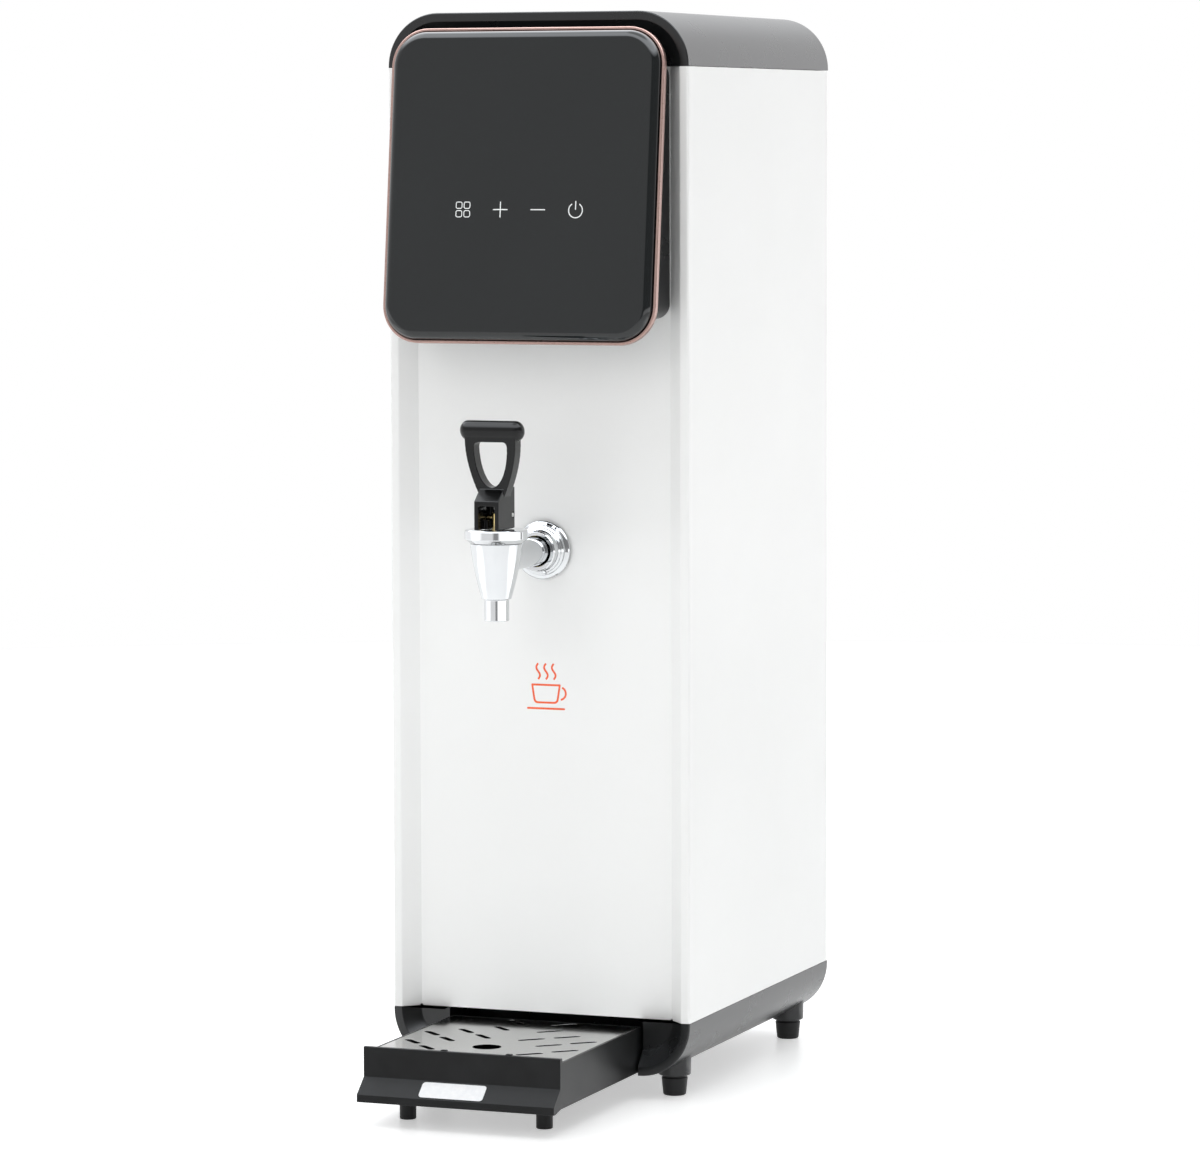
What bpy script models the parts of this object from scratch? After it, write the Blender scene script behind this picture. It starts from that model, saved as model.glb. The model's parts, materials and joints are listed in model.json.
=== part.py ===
"""Countertop water dispenser: a tall automatic-fill boiler with a lever tap and a drip tray.

Units are metres and +Z is up. The origin is on the ground, in the middle of the bounding box,
and the front faces -Y. Every sub-part is placed in the casing's frame, which one parent empty
holds: X is 0 on the centre line, Y is 0 at the casing's front rims and Z is 0 on the ground.
"""
import math

import bmesh
import bpy
from mathutils import Vector

# ---- Driving dimensions ---------------------------------------------------------------------
GAP = 0.0003  # clearance between neighbouring pieces

CASE_WIDTH = 0.210
CASE_DEPTH = 0.2835
CASE_BOTTOM = 0.052  # seam between base and casing
CASE_TOP = 0.6753  # seam between casing and top cover
TOTAL_HEIGHT = 0.711
BASE_BOTTOM = 0.0157
CORNER = 0.035  # rounded corners of the top cover and the base
RIM = 0.006  # flat rim around the recessed front
RECESS = 0.010  # depth of the recessed front
SHEET = 0.0012
MOULDED_WALL = 0.0025

TRAY_REACH = 0.1475  # from the casing's rims to the tip of the tray's lip
REAR_REACH = 0.020  # the inlet thread behind the rear panel
FRONT_Y = TRAY_REACH - (TRAY_REACH + CASE_DEPTH + REAR_REACH) / 2

FOOT_X = 0.0846
FOOT_Y = (0.027, 0.257)
COLLAR_BOTTOM = 0.0135

PANEL_WIDTH = 0.190
PANEL_HEIGHT = 0.2054
PANEL_RADIUS = 0.025
PANEL_CENTRE = (0.0, -0.0213, 0.5981)
PANEL_TILT = math.radians(6.35)
TRIM_DEPTH = 0.0045
TRIM_LIP = 0.0018
GLASS_INSET = 0.0023
BEVEL_WIDTH = 0.0056
BEVEL_DEPTH = 0.0062
CARRIER_BACK = -0.0032
HOUSING_FRONT = -0.0035
HOUSING_WIDTH = 0.177
HOUSING_Z = (0.512, 0.678)

TAP_Z = 0.3597  # the tap's level axis
TAP_Y = -0.073  # the tap's upright axis
SPOUT_BOTTOM = 0.320
SEAT_Z = 0.352
BODY_TOP = 0.370
BONNET_TOP = 0.379
PIN_Y = -0.065
PIN_Z = 0.388
STEM_Y = -0.075
THREAD_RADIUS = 0.0098
HANDLE_HALF = 0.0084
BAR_Z = 0.44265
BAR_RADIUS = 0.00665
BAR_LENGTH = 0.0436
LEAN_Z = 0.400  # the wishbone and bar lean forward about this height

TRAY_HALF = 0.067
LIP_HALF = 0.0677
LIP_Y = -0.136
TRAY_BOTTOM = 0.017
TRAY_TOP = 0.0464
TRAY_REAR = 0.0122
TRAY_WALL = 0.0016
GRILLE_THICK = 0.0012
GRILLE_Y = (-0.1320, 0.0085)
BAY_HALF = 0.0688
BAY_DEPTH = 0.062
SHELF_Y = 0.014
SHELF_TOP = 0.0182

TANK_Y = 0.125
TANK_RADIUS = 0.070
TANK_BOTTOM = 0.120
TANK_TOP = 0.540
JACKET_RADIUS = 0.084
LID_TOP = 0.5446
ELEMENT_LEG = (0.020, 0.1653)
TANK_PORTS = {"drain": 0.014, "inlet": -0.035}  # X of the ports in the tank's floor
TANK_PORT_Y = 0.118

REAR_FACE = CASE_DEPTH
PORT_Z = 0.085
VALVE_X = -0.050
DRAIN_X = 0.045
OVERFLOW_X = 0.080
GLAND_Z = 0.125
CABLE_Z = 0.583  # the touch panel's cable hole


# ---- Scene and materials --------------------------------------------------------------------
def clear_scene():
    for old in list(bpy.data.objects):
        bpy.data.objects.remove(old, do_unlink=True)


def make_material(name, colour, roughness, metallic=0.0):
    material = bpy.data.materials.new(name)
    material.use_nodes = True
    shader = material.node_tree.nodes["Principled BSDF"]
    shader.inputs["Base Color"].default_value = (*colour, 1.0)
    shader.inputs["Roughness"].default_value = roughness
    shader.inputs["Metallic"].default_value = metallic
    material.diffuse_color = (*colour, 1.0)
    return material


def make_empty(name, location, rotation=(0.0, 0.0, 0.0), parent=None):
    empty = bpy.data.objects.new(name, None)
    bpy.context.scene.collection.objects.link(empty)
    empty.location = location
    empty.rotation_euler = rotation
    empty.parent = parent
    return empty


clear_scene()
CASE_FRAME = make_empty("case_frame", (0.0, FRONT_Y, 0.0))
PANEL_FRAME = make_empty("panel_frame", PANEL_CENTRE, (math.pi / 2 - PANEL_TILT, 0.0, 0.0), CASE_FRAME)
HANDLE_FRAME = make_empty("handle_frame", (0.0, PIN_Y, PIN_Z), parent=CASE_FRAME)
HANDLE_LEAN = make_empty("handle_lean", (0.0, STEM_Y, LEAN_Z), parent=CASE_FRAME)
HANDLE_LEAN.rotation_euler.x = math.radians(5.4)

WHITE = make_material("white_powder_coat", (0.86, 0.86, 0.84), 0.45)
BLACK = make_material("black_moulding", (0.020, 0.021, 0.023), 0.42)
RUBBER = make_material("black_rubber", (0.015, 0.015, 0.015), 0.80)
GLASS = make_material("black_glass", (0.012, 0.014, 0.016), 0.06)
ROSE_GOLD = make_material("rose_gold", (0.72, 0.42, 0.34), 0.25, 1.0)
CHROME = make_material("chrome", (0.80, 0.81, 0.82), 0.06, 1.0)
STEEL = make_material("brushed_steel", (0.60, 0.60, 0.58), 0.32, 1.0)
PLATED = make_material("zinc_plate", (0.62, 0.64, 0.66), 0.40, 1.0)
BRASS = make_material("brass", (0.78, 0.58, 0.24), 0.28, 1.0)
SILICONE = make_material("silicone", (0.78, 0.76, 0.70), 0.60)
FOAM = make_material("grey_foam", (0.20, 0.20, 0.21), 0.90)
BOARD = make_material("circuit_board", (0.03, 0.16, 0.07), 0.45)
WHITE_PLASTIC = make_material("white_plastic", (0.80, 0.80, 0.78), 0.40)
COPPER = make_material("copper_winding", (0.66, 0.30, 0.16), 0.35, 1.0)


# ---- Outlines -------------------------------------------------------------------------------
def arc(centre, radius, start, end, steps):
    """Points along an arc, with its angles in degrees and both ends included."""
    angles = [math.radians(start + (end - start) * i / steps) for i in range(steps + 1)]
    return [(centre[0] + radius * math.cos(a), centre[1] + radius * math.sin(a)) for a in angles]


def circle(radius, steps=24, centre=(0.0, 0.0), phase=0.0):
    return arc(centre, radius, phase, phase + 360.0, steps)[:-1]


def rectangle(width, height, centre=(0.0, 0.0)):
    x, y = width / 2, height / 2
    corners = ((x, y), (-x, y), (-x, -y), (x, -y))
    return [(centre[0] + a, centre[1] + b) for a, b in corners]


def rounded_rectangle(width, height, radius, steps=6, centre=(0.0, 0.0)):
    points = []
    for side_x, side_y, start in ((1, 1, 0.0), (-1, 1, 90.0), (-1, -1, 180.0), (1, -1, 270.0)):
        corner_x = centre[0] + side_x * (width / 2 - radius)
        corner_y = centre[1] + side_y * (height / 2 - radius)
        points += arc((corner_x, corner_y), radius, start, start + 90.0, steps)
    return points


def slot(length, width, angle, centre, steps=4):
    """A round-ended slot, its long axis turned by an angle in degrees."""
    reach = (length - width) / 2
    along = (math.cos(math.radians(angle)), math.sin(math.radians(angle)))
    points = []
    for side, start in ((1, -90.0), (-1, 90.0)):
        end = (centre[0] + side * reach * along[0], centre[1] + side * reach * along[1])
        points += arc(end, width / 2, angle + start, angle + start + 180.0, steps)
    return points


def arch(inset, foot, crown, steps=8):
    """A band across the casing, square at its foot and rounded at its crown, in X and Z."""
    sign = 1.0 if crown > foot else -1.0
    radius = CORNER - inset
    centre_x = CASE_WIDTH / 2 - CORNER
    centre_z = crown - sign * CORNER
    right = [(x, centre_z + sign * z) for x, z in arc((centre_x, 0.0), radius, 0.0, 90.0, steps)]
    left = [(-x, z) for x, z in reversed(right)]
    half = CASE_WIDTH / 2 - inset
    return [(half, foot)] + right + left + [(-half, foot)]


def rounded_corner(before, corner, after, radius, steps):
    to_before = (before - corner).normalized()
    to_after = (after - corner).normalized()
    half_angle = to_before.angle(to_after) / 2
    reach = radius / math.tan(half_angle)
    centre = corner + (to_before + to_after).normalized() * (radius / math.sin(half_angle))
    first = (corner + to_before * reach - centre).normalized()
    last = (corner + to_after * reach - centre).normalized()
    return [centre + first.slerp(last, i / steps) * radius for i in range(steps + 1)]


def folded_sheet(path, thickness, bend, steps=2):
    """The closed outline of a folded sheet, whose outer face is the path and lies on its left."""
    outer = [Vector(point) for point in path]
    headings = [(b - a).normalized() for a, b in zip(outer, outer[1:])]
    rights = [Vector((h.y, -h.x)) for h in headings]
    inner = [outer[0] + rights[0] * thickness]
    for i in range(1, len(outer) - 1):
        bisector = (rights[i - 1] + rights[i]).normalized()
        inner.append(outer[i] + bisector * (thickness / bisector.dot(rights[i])))
    inner.append(outer[-1] + rights[-1] * thickness)
    sides = ([outer[0]], [inner[0]])
    for i in range(1, len(outer) - 1):
        turns_right = headings[i - 1].cross(headings[i]) < 0.0
        for side, line, outside in ((sides[0], outer, turns_right), (sides[1], inner, not turns_right)):
            radius = bend + thickness if outside else bend
            side += rounded_corner(line[i - 1], line[i], line[i + 1], radius, steps)
    sides[0].append(outer[-1])
    sides[1].append(inner[-1])
    return [tuple(p) for p in sides[0]] + [tuple(p) for p in reversed(sides[1])]


# ---- Solids ---------------------------------------------------------------------------------
def finish(name, bm, material, at=(0.0, 0.0, 0.0), turn=(0.0, 0.0, 0.0), parent=None):
    """Turn a bmesh into a named object, with outward faces and smooth round sides."""
    bmesh.ops.recalc_face_normals(bm, faces=bm.faces)
    if bm.calc_volume(signed=True) < 0.0:
        bmesh.ops.reverse_faces(bm, faces=bm.faces)
    mesh = bpy.data.meshes.new(name)
    bm.to_mesh(mesh)
    bm.free()
    mesh.materials.append(material)
    mesh.shade_smooth()
    mesh.set_sharp_from_angle(angle=math.radians(32.0))
    obj = bpy.data.objects.new(name, mesh)
    bpy.context.scene.collection.objects.link(obj)
    obj.location = at
    obj.rotation_euler = turn
    obj.parent = parent or CASE_FRAME
    return obj


ALONG_Y = (math.pi / 2, 0.0, 0.0)  # outline in X and Z, thickness towards -Y
ALONG_X = (math.pi / 2, 0.0, math.pi / 2)  # outline in Y and Z, thickness towards +X


def plate(name, outline, thickness, material, holes=(), **place):
    """A flat outline with holes, raised along its own +Z."""
    bm = bmesh.new()
    edges = []
    for loop in (outline, *holes):
        verts = [bm.verts.new((x, y, 0.0)) for x, y in loop]
        edges += [bm.edges.new((a, b)) for a, b in zip(verts, verts[1:] + verts[:1])]
    bmesh.ops.triangle_fill(bm, edges=edges, use_beauty=True)
    raised = bmesh.ops.extrude_face_region(bm, geom=bm.faces[:], use_keep_orig=True)
    top = [v for v in raised["geom"] if isinstance(v, bmesh.types.BMVert)]
    bmesh.ops.translate(bm, verts=top, vec=(0.0, 0.0, thickness))
    return finish(name, bm, material, **place)


def plate_y(name, outline, front, rear, material, holes=(), **place):
    """A plate whose outline is in X and Z, between two depths."""
    return plate(name, outline, rear - front, material, holes, at=(0.0, rear, 0.0), turn=ALONG_Y, **place)


def plate_x(name, outline, left, right, material, holes=(), **place):
    """A plate whose outline is in Y and Z, between two sides."""
    return plate(name, outline, right - left, material, holes, at=(left, 0.0, 0.0), turn=ALONG_X, **place)


def plate_z(name, outline, bottom, top, material, holes=(), **place):
    return plate(name, outline, top - bottom, material, holes, at=(0.0, 0.0, bottom), **place)


def loft(name, loops, material, **place):
    """A closed skin through loops of equal length, with a flat cap at each end."""
    bm = bmesh.new()
    rings = [[bm.verts.new(point) for point in loop] for loop in loops]
    for low, high in zip(rings, rings[1:]):
        for i in range(len(low)):
            j = (i + 1) % len(low)
            bm.faces.new((low[i], low[j], high[j], high[i]))
    bm.faces.new(rings[0])
    bm.faces.new(rings[-1])
    return finish(name, bm, material, **place)


def turned(name, profile, material, steps=24, **place):
    """A closed profile of radii and heights, spun about its own Z axis."""
    bm = bmesh.new()
    verts = [bm.verts.new((r, 0.0, z)) for r, z in profile]
    edges = [bm.edges.new((a, b)) for a, b in zip(verts, verts[1:] + verts[:1])]
    on_axis = [e for e in edges if all(abs(v.co.x) < 1e-9 for v in e.verts)]
    bmesh.ops.delete(bm, geom=on_axis, context="EDGES")
    bmesh.ops.spin(
        bm, geom=bm.verts[:] + bm.edges[:], axis=(0.0, 0.0, 1.0), cent=(0.0, 0.0, 0.0),
        angle=2 * math.pi, steps=steps, use_merge=True,
    )
    bmesh.ops.remove_doubles(bm, verts=bm.verts[:], dist=1e-6)
    return finish(name, bm, material, **place)


def turned_y(name, profile, x, z, material, steps=24):
    """A profile of radii and depths, spun about an axis that runs front to rear."""
    flipped = [(r, -y) for r, y in profile]
    return turned(name, flipped, material, steps, at=(x, 0.0, z), turn=ALONG_Y)


def rod(name, radius, start, end, material, steps=16):
    """A plain cylinder between two points, its corners turned clear of a spun end's spokes."""
    axis = Vector(end) - Vector(start)
    turn = axis.to_track_quat("Z", "Y").to_euler()
    return plate(name, circle(radius, steps, phase=4.0), axis.length, material, at=start, turn=turn)


def smooth_route(points, steps=4):
    """Points along a Catmull-Rom curve through a route, with its two end stretches straight."""
    route = [Vector(p) for p in points]
    result = route[:2]
    for p0, p1, p2, p3 in zip(route, route[1:], route[2:], route[3:]):
        for i in range(1, steps + 1):
            t = i / steps
            linear = (p2 - p0) * t
            square = (p0 * 2 - p1 * 5 + p2 * 4 - p3) * t ** 2
            cubic = (p1 * 3 - p0 - p2 * 3 + p3) * t ** 3
            result.append((p1 * 2 + linear + square + cubic) / 2)
    return result + [route[-1]]


def tube(name, route, radius, material, resolution=2):
    """A round bar along a route, as a curve with filled ends."""
    curve = bpy.data.curves.new(name, "CURVE")
    curve.dimensions = "3D"
    curve.bevel_depth = radius
    curve.bevel_resolution = resolution
    curve.use_fill_caps = True
    spline = curve.splines.new("POLY")
    spline.points.add(len(route) - 1)
    for point, place in zip(spline.points, route):
        point.co = (*place, 1.0)
    curve.materials.append(material)
    obj = bpy.data.objects.new(name, curve)
    bpy.context.scene.collection.objects.link(obj)
    obj.parent = CASE_FRAME
    return obj


def combine(obj, tool, operation, solver="EXACT"):
    """Join a hidden tool to an object, or cut it away, with a Boolean."""
    tool.hide_render = True
    tool.display_type = "WIRE"
    modifier = obj.modifiers.new(f"{operation.lower()}_{tool.name}", "BOOLEAN")
    modifier.operation = operation
    modifier.solver = solver
    modifier.object = tool


def cut(obj, *tools, solver="EXACT"):
    for tool in tools:
        combine(obj, tool, "DIFFERENCE", solver)


def join(obj, *tools, solver="EXACT"):
    for tool in tools:
        combine(obj, tool, "UNION", solver)


# ---- Casing, cover, base and feet -----------------------------------------------------------
def make_casing():
    """One folded sheet: both sides, their rear flanges and the recessed front."""
    half = CASE_WIDTH / 2
    flange_y = CASE_DEPTH - SHEET - GAP
    right = [
        (half - 0.012, flange_y), (half, flange_y), (half, 0.0),
        (half - RIM, 0.0), (half - RIM - RECESS, RECESS),
    ]
    path = right + [(-x, y) for x, y in reversed(right)]
    outline = folded_sheet(path, SHEET, 0.0006)
    casing = plate_z("outer_casing", outline, CASE_BOTTOM + GAP, CASE_TOP - GAP, WHITE)
    holes = (
        rod("tap_hole", 0.011, (0.0, 0.0, TAP_Z), (0.0, 0.020, TAP_Z), WHITE, 24),
        rod("cable_hole", 0.008, (0.0, 0.0, CABLE_Z), (0.0, 0.020, CABLE_Z), WHITE),
    )
    cut(casing, *holes)


def vent_slots():
    """Two columns of cooling slots high on the rear panel."""
    rows = [0.560 + 0.014 * i for i in range(6)]
    return [slot(0.050, 0.005, 0.0, (x, z)) for x in (-0.040, 0.040) for z in rows]


def make_rear_panel():
    outline = rounded_rectangle(CASE_WIDTH - 0.002, CASE_TOP - CASE_BOTTOM - 0.001, 0.002, 2,
                                (0.0, (CASE_TOP + CASE_BOTTOM) / 2))
    ports = [
        circle(0.0138, 24, (VALVE_X, PORT_Z)),
        circle(0.0083, 20, (DRAIN_X, PORT_Z)),
        circle(0.0083, 20, (OVERFLOW_X, PORT_Z)),
        circle(0.0083, 20, (0.0, GLAND_Z)),
    ]
    plate_y("rear_panel", outline, REAR_FACE - SHEET, REAR_FACE, WHITE, ports + vent_slots())


def moulded_end(name, foot, crown):
    """A hollow moulded end of the casing, with the recess carried on into its front."""
    beyond = 0.005 if foot > crown else -0.005
    body = plate_y(name, arch(0.0, foot, crown), 0.0, CASE_DEPTH, BLACK)
    cavity = plate_y(f"{name}_cavity", arch(MOULDED_WALL, foot + beyond, crown),
                     RECESS + MOULDED_WALL, CASE_DEPTH - MOULDED_WALL, BLACK)
    loops = []
    for inset, y in ((RIM - 0.001, -0.001), (RIM + RECESS, RECESS)):
        loops.append([(x, y, z) for x, z in arch(inset, foot + beyond, crown)])
    recess = loft(f"{name}_recess", loops, BLACK)
    cut(body, cavity, recess)
    return body, cavity


def make_base():
    """The base: a tub with four foot collars and a bay that takes the drip tray's rear end."""
    base, cavity = moulded_end("base_shell", CASE_BOTTOM, BASE_BOTTOM)
    keep = plate_z("bay_walls", rectangle(2 * (BAY_HALF + MOULDED_WALL), 2 * (BAY_DEPTH + MOULDED_WALL)),
                   -0.01, 0.08, BLACK)
    cut(cavity, keep)
    mouth = plate_z("bay_mouth", rectangle(2 * BAY_HALF, 2 * SHELF_Y), -0.01, 0.08, BLACK)
    room = plate_z("bay_room", rectangle(2 * BAY_HALF, 2 * BAY_DEPTH), SHELF_TOP, 0.08, BLACK)
    cut(base, mouth, room)
    for side in (-1, 1):
        for y in FOOT_Y:
            tag = f"{'left' if side < 0 else 'right'}_{'front' if y < 0.1 else 'rear'}"
            collar = rod(f"collar_{tag}", 0.01075, (side * FOOT_X, y, COLLAR_BOTTOM),
                         (side * FOOT_X, y, 0.034), BLACK, 24)
            socket = rod(f"socket_{tag}", 0.0033, (side * FOOT_X, y, 0.0),
                         (side * FOOT_X, y, 0.030), BLACK, 12)
            join(base, collar)
            cut(base, socket)


def make_feet():
    """Four tapered rubber feet, each with a stud that sits in its collar."""
    top = COLLAR_BOTTOM - GAP
    profile = [
        (0.0, 0.0), (0.0069, 0.0), (0.0075, 0.0006), (0.0088, top), (0.0030, top),
        (0.0030, 0.0265), (0.0, 0.0265),
    ]
    for side, hand in ((-1, "left"), (1, "right")):
        for y, end in zip(FOOT_Y, ("front", "rear")):
            turned(f"foot_{end}_{hand}", profile, RUBBER, 20, at=(side * FOOT_X, y, 0.0))


def make_chassis():
    """The floor plate inside the casing, which carries the tank and the wiring bracket."""
    width = CASE_WIDTH - 2 * SHEET - 0.0008
    front, rear = RECESS + SHEET + 0.0008, CASE_DEPTH - 0.0028
    outline = rectangle(width, rear - front, (0.0, (front + rear) / 2))
    plate_z("chassis_plate", outline, CASE_BOTTOM + GAP, CASE_BOTTOM + GAP + 0.0015, PLATED)


# ---- Touch panel ----------------------------------------------------------------------------
def panel_y(z, depth):
    """Where a plane at a depth in the tilted panel's frame stands at a height, in Y."""
    lean = (z - PANEL_CENTRE[2]) * math.tan(PANEL_TILT)
    return PANEL_CENTRE[1] + lean - depth / math.cos(PANEL_TILT)


def panel_outline(inset):
    return rounded_rectangle(PANEL_WIDTH - 2 * inset, PANEL_HEIGHT - 2 * inset, PANEL_RADIUS - inset)


def make_panel_housing():
    """A wedge-shaped tub on the casing's front, open towards the tilted panel."""
    low, high = HOUSING_Z
    wall = MOULDED_WALL
    centre = (0.0, (low + high) / 2)
    outside = rounded_rectangle(HOUSING_WIDTH, high - low, 0.010, 5, centre)
    inside = rounded_rectangle(HOUSING_WIDTH - 2 * wall, high - low - 2 * wall, 0.0075, 5, centre)
    rear = RECESS - GAP
    loops = [
        [(x, rear - wall, z) for x, z in inside],
        [(x, panel_y(z, HOUSING_FRONT), z) for x, z in inside],
        [(x, panel_y(z, HOUSING_FRONT), z) for x, z in outside],
        [(x, rear, z) for x, z in outside],
    ]
    housing = loft("panel_housing", loops, BLACK)
    cut(housing, rod("housing_hole", 0.008, (0.0, -0.010, CABLE_Z), (0.0, 0.020, CABLE_Z), BLACK))


def make_panel():
    """The panel proper: carrier, metal trim, bevelled glass and the touch board behind it."""
    plate("panel_carrier", panel_outline(0.0015), -CARRIER_BACK - GAP, BLACK,
          at=(0.0, 0.0, CARRIER_BACK), parent=PANEL_FRAME)
    plate("panel_trim", panel_outline(0.0), TRIM_DEPTH, ROSE_GOLD, [panel_outline(TRIM_LIP)],
          parent=PANEL_FRAME)
    loops = [[(x, y, 0.0) for x, y in panel_outline(GLASS_INSET)]]
    for angle in (0.0, 30.0, 60.0, 90.0):
        inset = GLASS_INSET + BEVEL_WIDTH * (1.0 - math.cos(math.radians(angle)))
        depth = TRIM_DEPTH + BEVEL_DEPTH * math.sin(math.radians(angle))
        loops.append([(x, y, depth) for x, y in panel_outline(inset)])
    loft("panel_glass", loops, GLASS, parent=PANEL_FRAME)
    plate("touch_board", rectangle(0.150, 0.060, (0.0, -0.015)), 0.0016, BOARD,
          at=(0.0, 0.0, -0.0080), parent=PANEL_FRAME)


# ---- Tap ------------------------------------------------------------------------------------
def make_tap_mounting():
    """What fixes the tap to the casing: flange and washer outside, nut and sleeve inside."""
    flange = [
        (THREAD_RADIUS + 0.0006, 0.0084), (0.0193, 0.0084), (0.0193, 0.0066), (0.0150, 0.0030),
        (0.0150, 0.0006), (0.0140, 0.0006), (0.0125, -0.0050), (THREAD_RADIUS + 0.0006, -0.0050),
    ]
    turned_y("tap_flange", flange, 0.0, TAP_Z, CHROME, 32)
    washer = [(0.0115, 0.0087), (0.0180, 0.0087), (0.0180, 0.0097), (0.0115, 0.0097)]
    turned_y("tap_washer", washer, 0.0, TAP_Z, RUBBER, 24)
    hexagon = circle(0.0155, 6, (0.0, TAP_Z))
    bore = circle(THREAD_RADIUS + GAP, 24, (0.0, TAP_Z))
    plate_y("tap_nut", hexagon, 0.0116, 0.0186, BRASS, [bore])
    sleeve = [(0.0101, 0.0200), (0.0118, 0.0200), (0.0118, 0.0500), (0.0101, 0.0500)]
    turned_y("tap_sleeve", sleeve, 0.0, TAP_Z, SILICONE, 20)


def make_tap_body():
    """The chrome casting: spout, faceted cone and the level stem that goes through the casing."""
    upright = [
        (0.0, SPOUT_BOTTOM), (0.0076, SPOUT_BOTTOM), (0.0081, SPOUT_BOTTOM + 0.0006), (0.0081, 0.3335),
        (0.0095, 0.3345), (0.0115, 0.3440), (0.0150, 0.3560), (0.0168, 0.3650), (0.0168, BODY_TOP),
        (0.0, BODY_TOP),
    ]
    body = turned("tap_body", upright, CHROME, 24, at=(0.0, TAP_Y, 0.0))
    stem = rod("tap_stem", 0.0095, (0.0, TAP_Y, TAP_Z), (0.0, 0.0320, TAP_Z), CHROME, 24)
    join(body, stem)
    tools = (
        rod("spout_bore", 0.0055, (0.0, TAP_Y, 0.310), (0.0, TAP_Y, SEAT_Z + 0.005), CHROME, 20),
        rod("chamber", 0.0120, (0.0, TAP_Y, SEAT_Z), (0.0, TAP_Y, 0.380), CHROME, 24),
        rod("level_bore", 0.0060, (0.0, TAP_Y, TAP_Z), (0.0, 0.0400, TAP_Z), CHROME, 20),
    )
    cut(body, *tools)


def make_bonnet():
    """The round collar on the body, with the lug that holds the handle's pin."""
    foot = circle(0.0172, 32, (0.0, TAP_Y))
    rim = circle(0.0204, 32, (0.0, TAP_Y))
    low = BODY_TOP + GAP
    loops = [[(x, y, z) for x, y in outline] for outline, z in (
        (foot, low), (rim, low + 0.0026), (rim, BONNET_TOP - 0.0008),
        (circle(0.0196, 32, (0.0, TAP_Y)), BONNET_TOP))]
    bonnet = loft("tap_bonnet", loops, CHROME)
    top = BONNET_TOP + 0.002
    cut(bonnet, rod("stem_bore", 0.0024, (0.0, STEM_Y, low - 0.002), (0.0, STEM_Y, top), CHROME, 12))
    lug_side = [(PIN_Y - 0.0035, 0.3780), (PIN_Y + 0.0026, 0.3780), (PIN_Y + 0.0026, PIN_Z)]
    lug_side += arc((PIN_Y - 0.0004, PIN_Z), 0.0031, 5.0, 175.0, 6)
    lug = plate_x("pin_lug", lug_side, -0.0022, 0.0022, CHROME)
    join(bonnet, lug)
    cut(bonnet, rod("lug_bore", 0.0017, (-0.010, PIN_Y, PIN_Z), (0.010, PIN_Y, PIN_Z), CHROME, 12))


def make_valve():
    """The valve: brass stem with a cross head, silicone seat plug and closing spring."""
    profile = [
        (0.0, 0.3563), (0.0050, 0.3563), (0.0050, 0.3588), (0.0020, 0.3588), (0.0020, 0.3895),
        (0.0015, 0.3900), (0.0, 0.3900),
    ]
    stem = turned("valve_stem", profile, BRASS, 12, at=(0.0, STEM_Y, 0.0))
    join(stem, rod("cross_head", 0.00125, (-0.0050, STEM_Y, 0.3870), (0.0050, STEM_Y, 0.3870), BRASS, 10))
    plug = [(0.0, SEAT_Z + GAP), (0.0066, SEAT_Z + GAP), (0.0076, 0.3540), (0.0072, 0.3560), (0.0, 0.3560)]
    turned("seat_plug", plug, SILICONE, 20, at=(0.0, STEM_Y, 0.0))
    low, high, wire, coil = 0.3591, BODY_TOP, 0.0005, 0.0038
    turns, per_turn = 4, 12
    count = turns * per_turn
    pitch = (high - low - 2 * wire) / count
    helix = [
        (coil * math.cos(2 * math.pi * i / per_turn), STEM_Y + coil * math.sin(2 * math.pi * i / per_turn),
         low + wire + pitch * i) for i in range(count + 1)
    ]
    tube("valve_spring", helix, wire, STEEL, 1)


def handle_loop():
    """Outline and finger opening of the handle's wishbone, seen from the front."""
    top = 0.438
    levels = [0.3960 + (top - 0.3960) * i / 8 for i in range(9)]
    right = [(0.0174 * (1.0 - 0.40 * (max(0.4354 - z, 0.0) / 0.0304) ** 1.8), z) for z in levels]
    outline = right + [(-x, z) for x, z in reversed(right)]
    opening = [(0.0114 * math.cos(a), 0.4325 + 0.0262 * math.sin(a))
               for a in (math.radians(180.0 + 15.0 * i) for i in range(13))]
    opening += [(0.0095, 0.4352), (-0.0095, 0.4352)]
    return outline, opening


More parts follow.
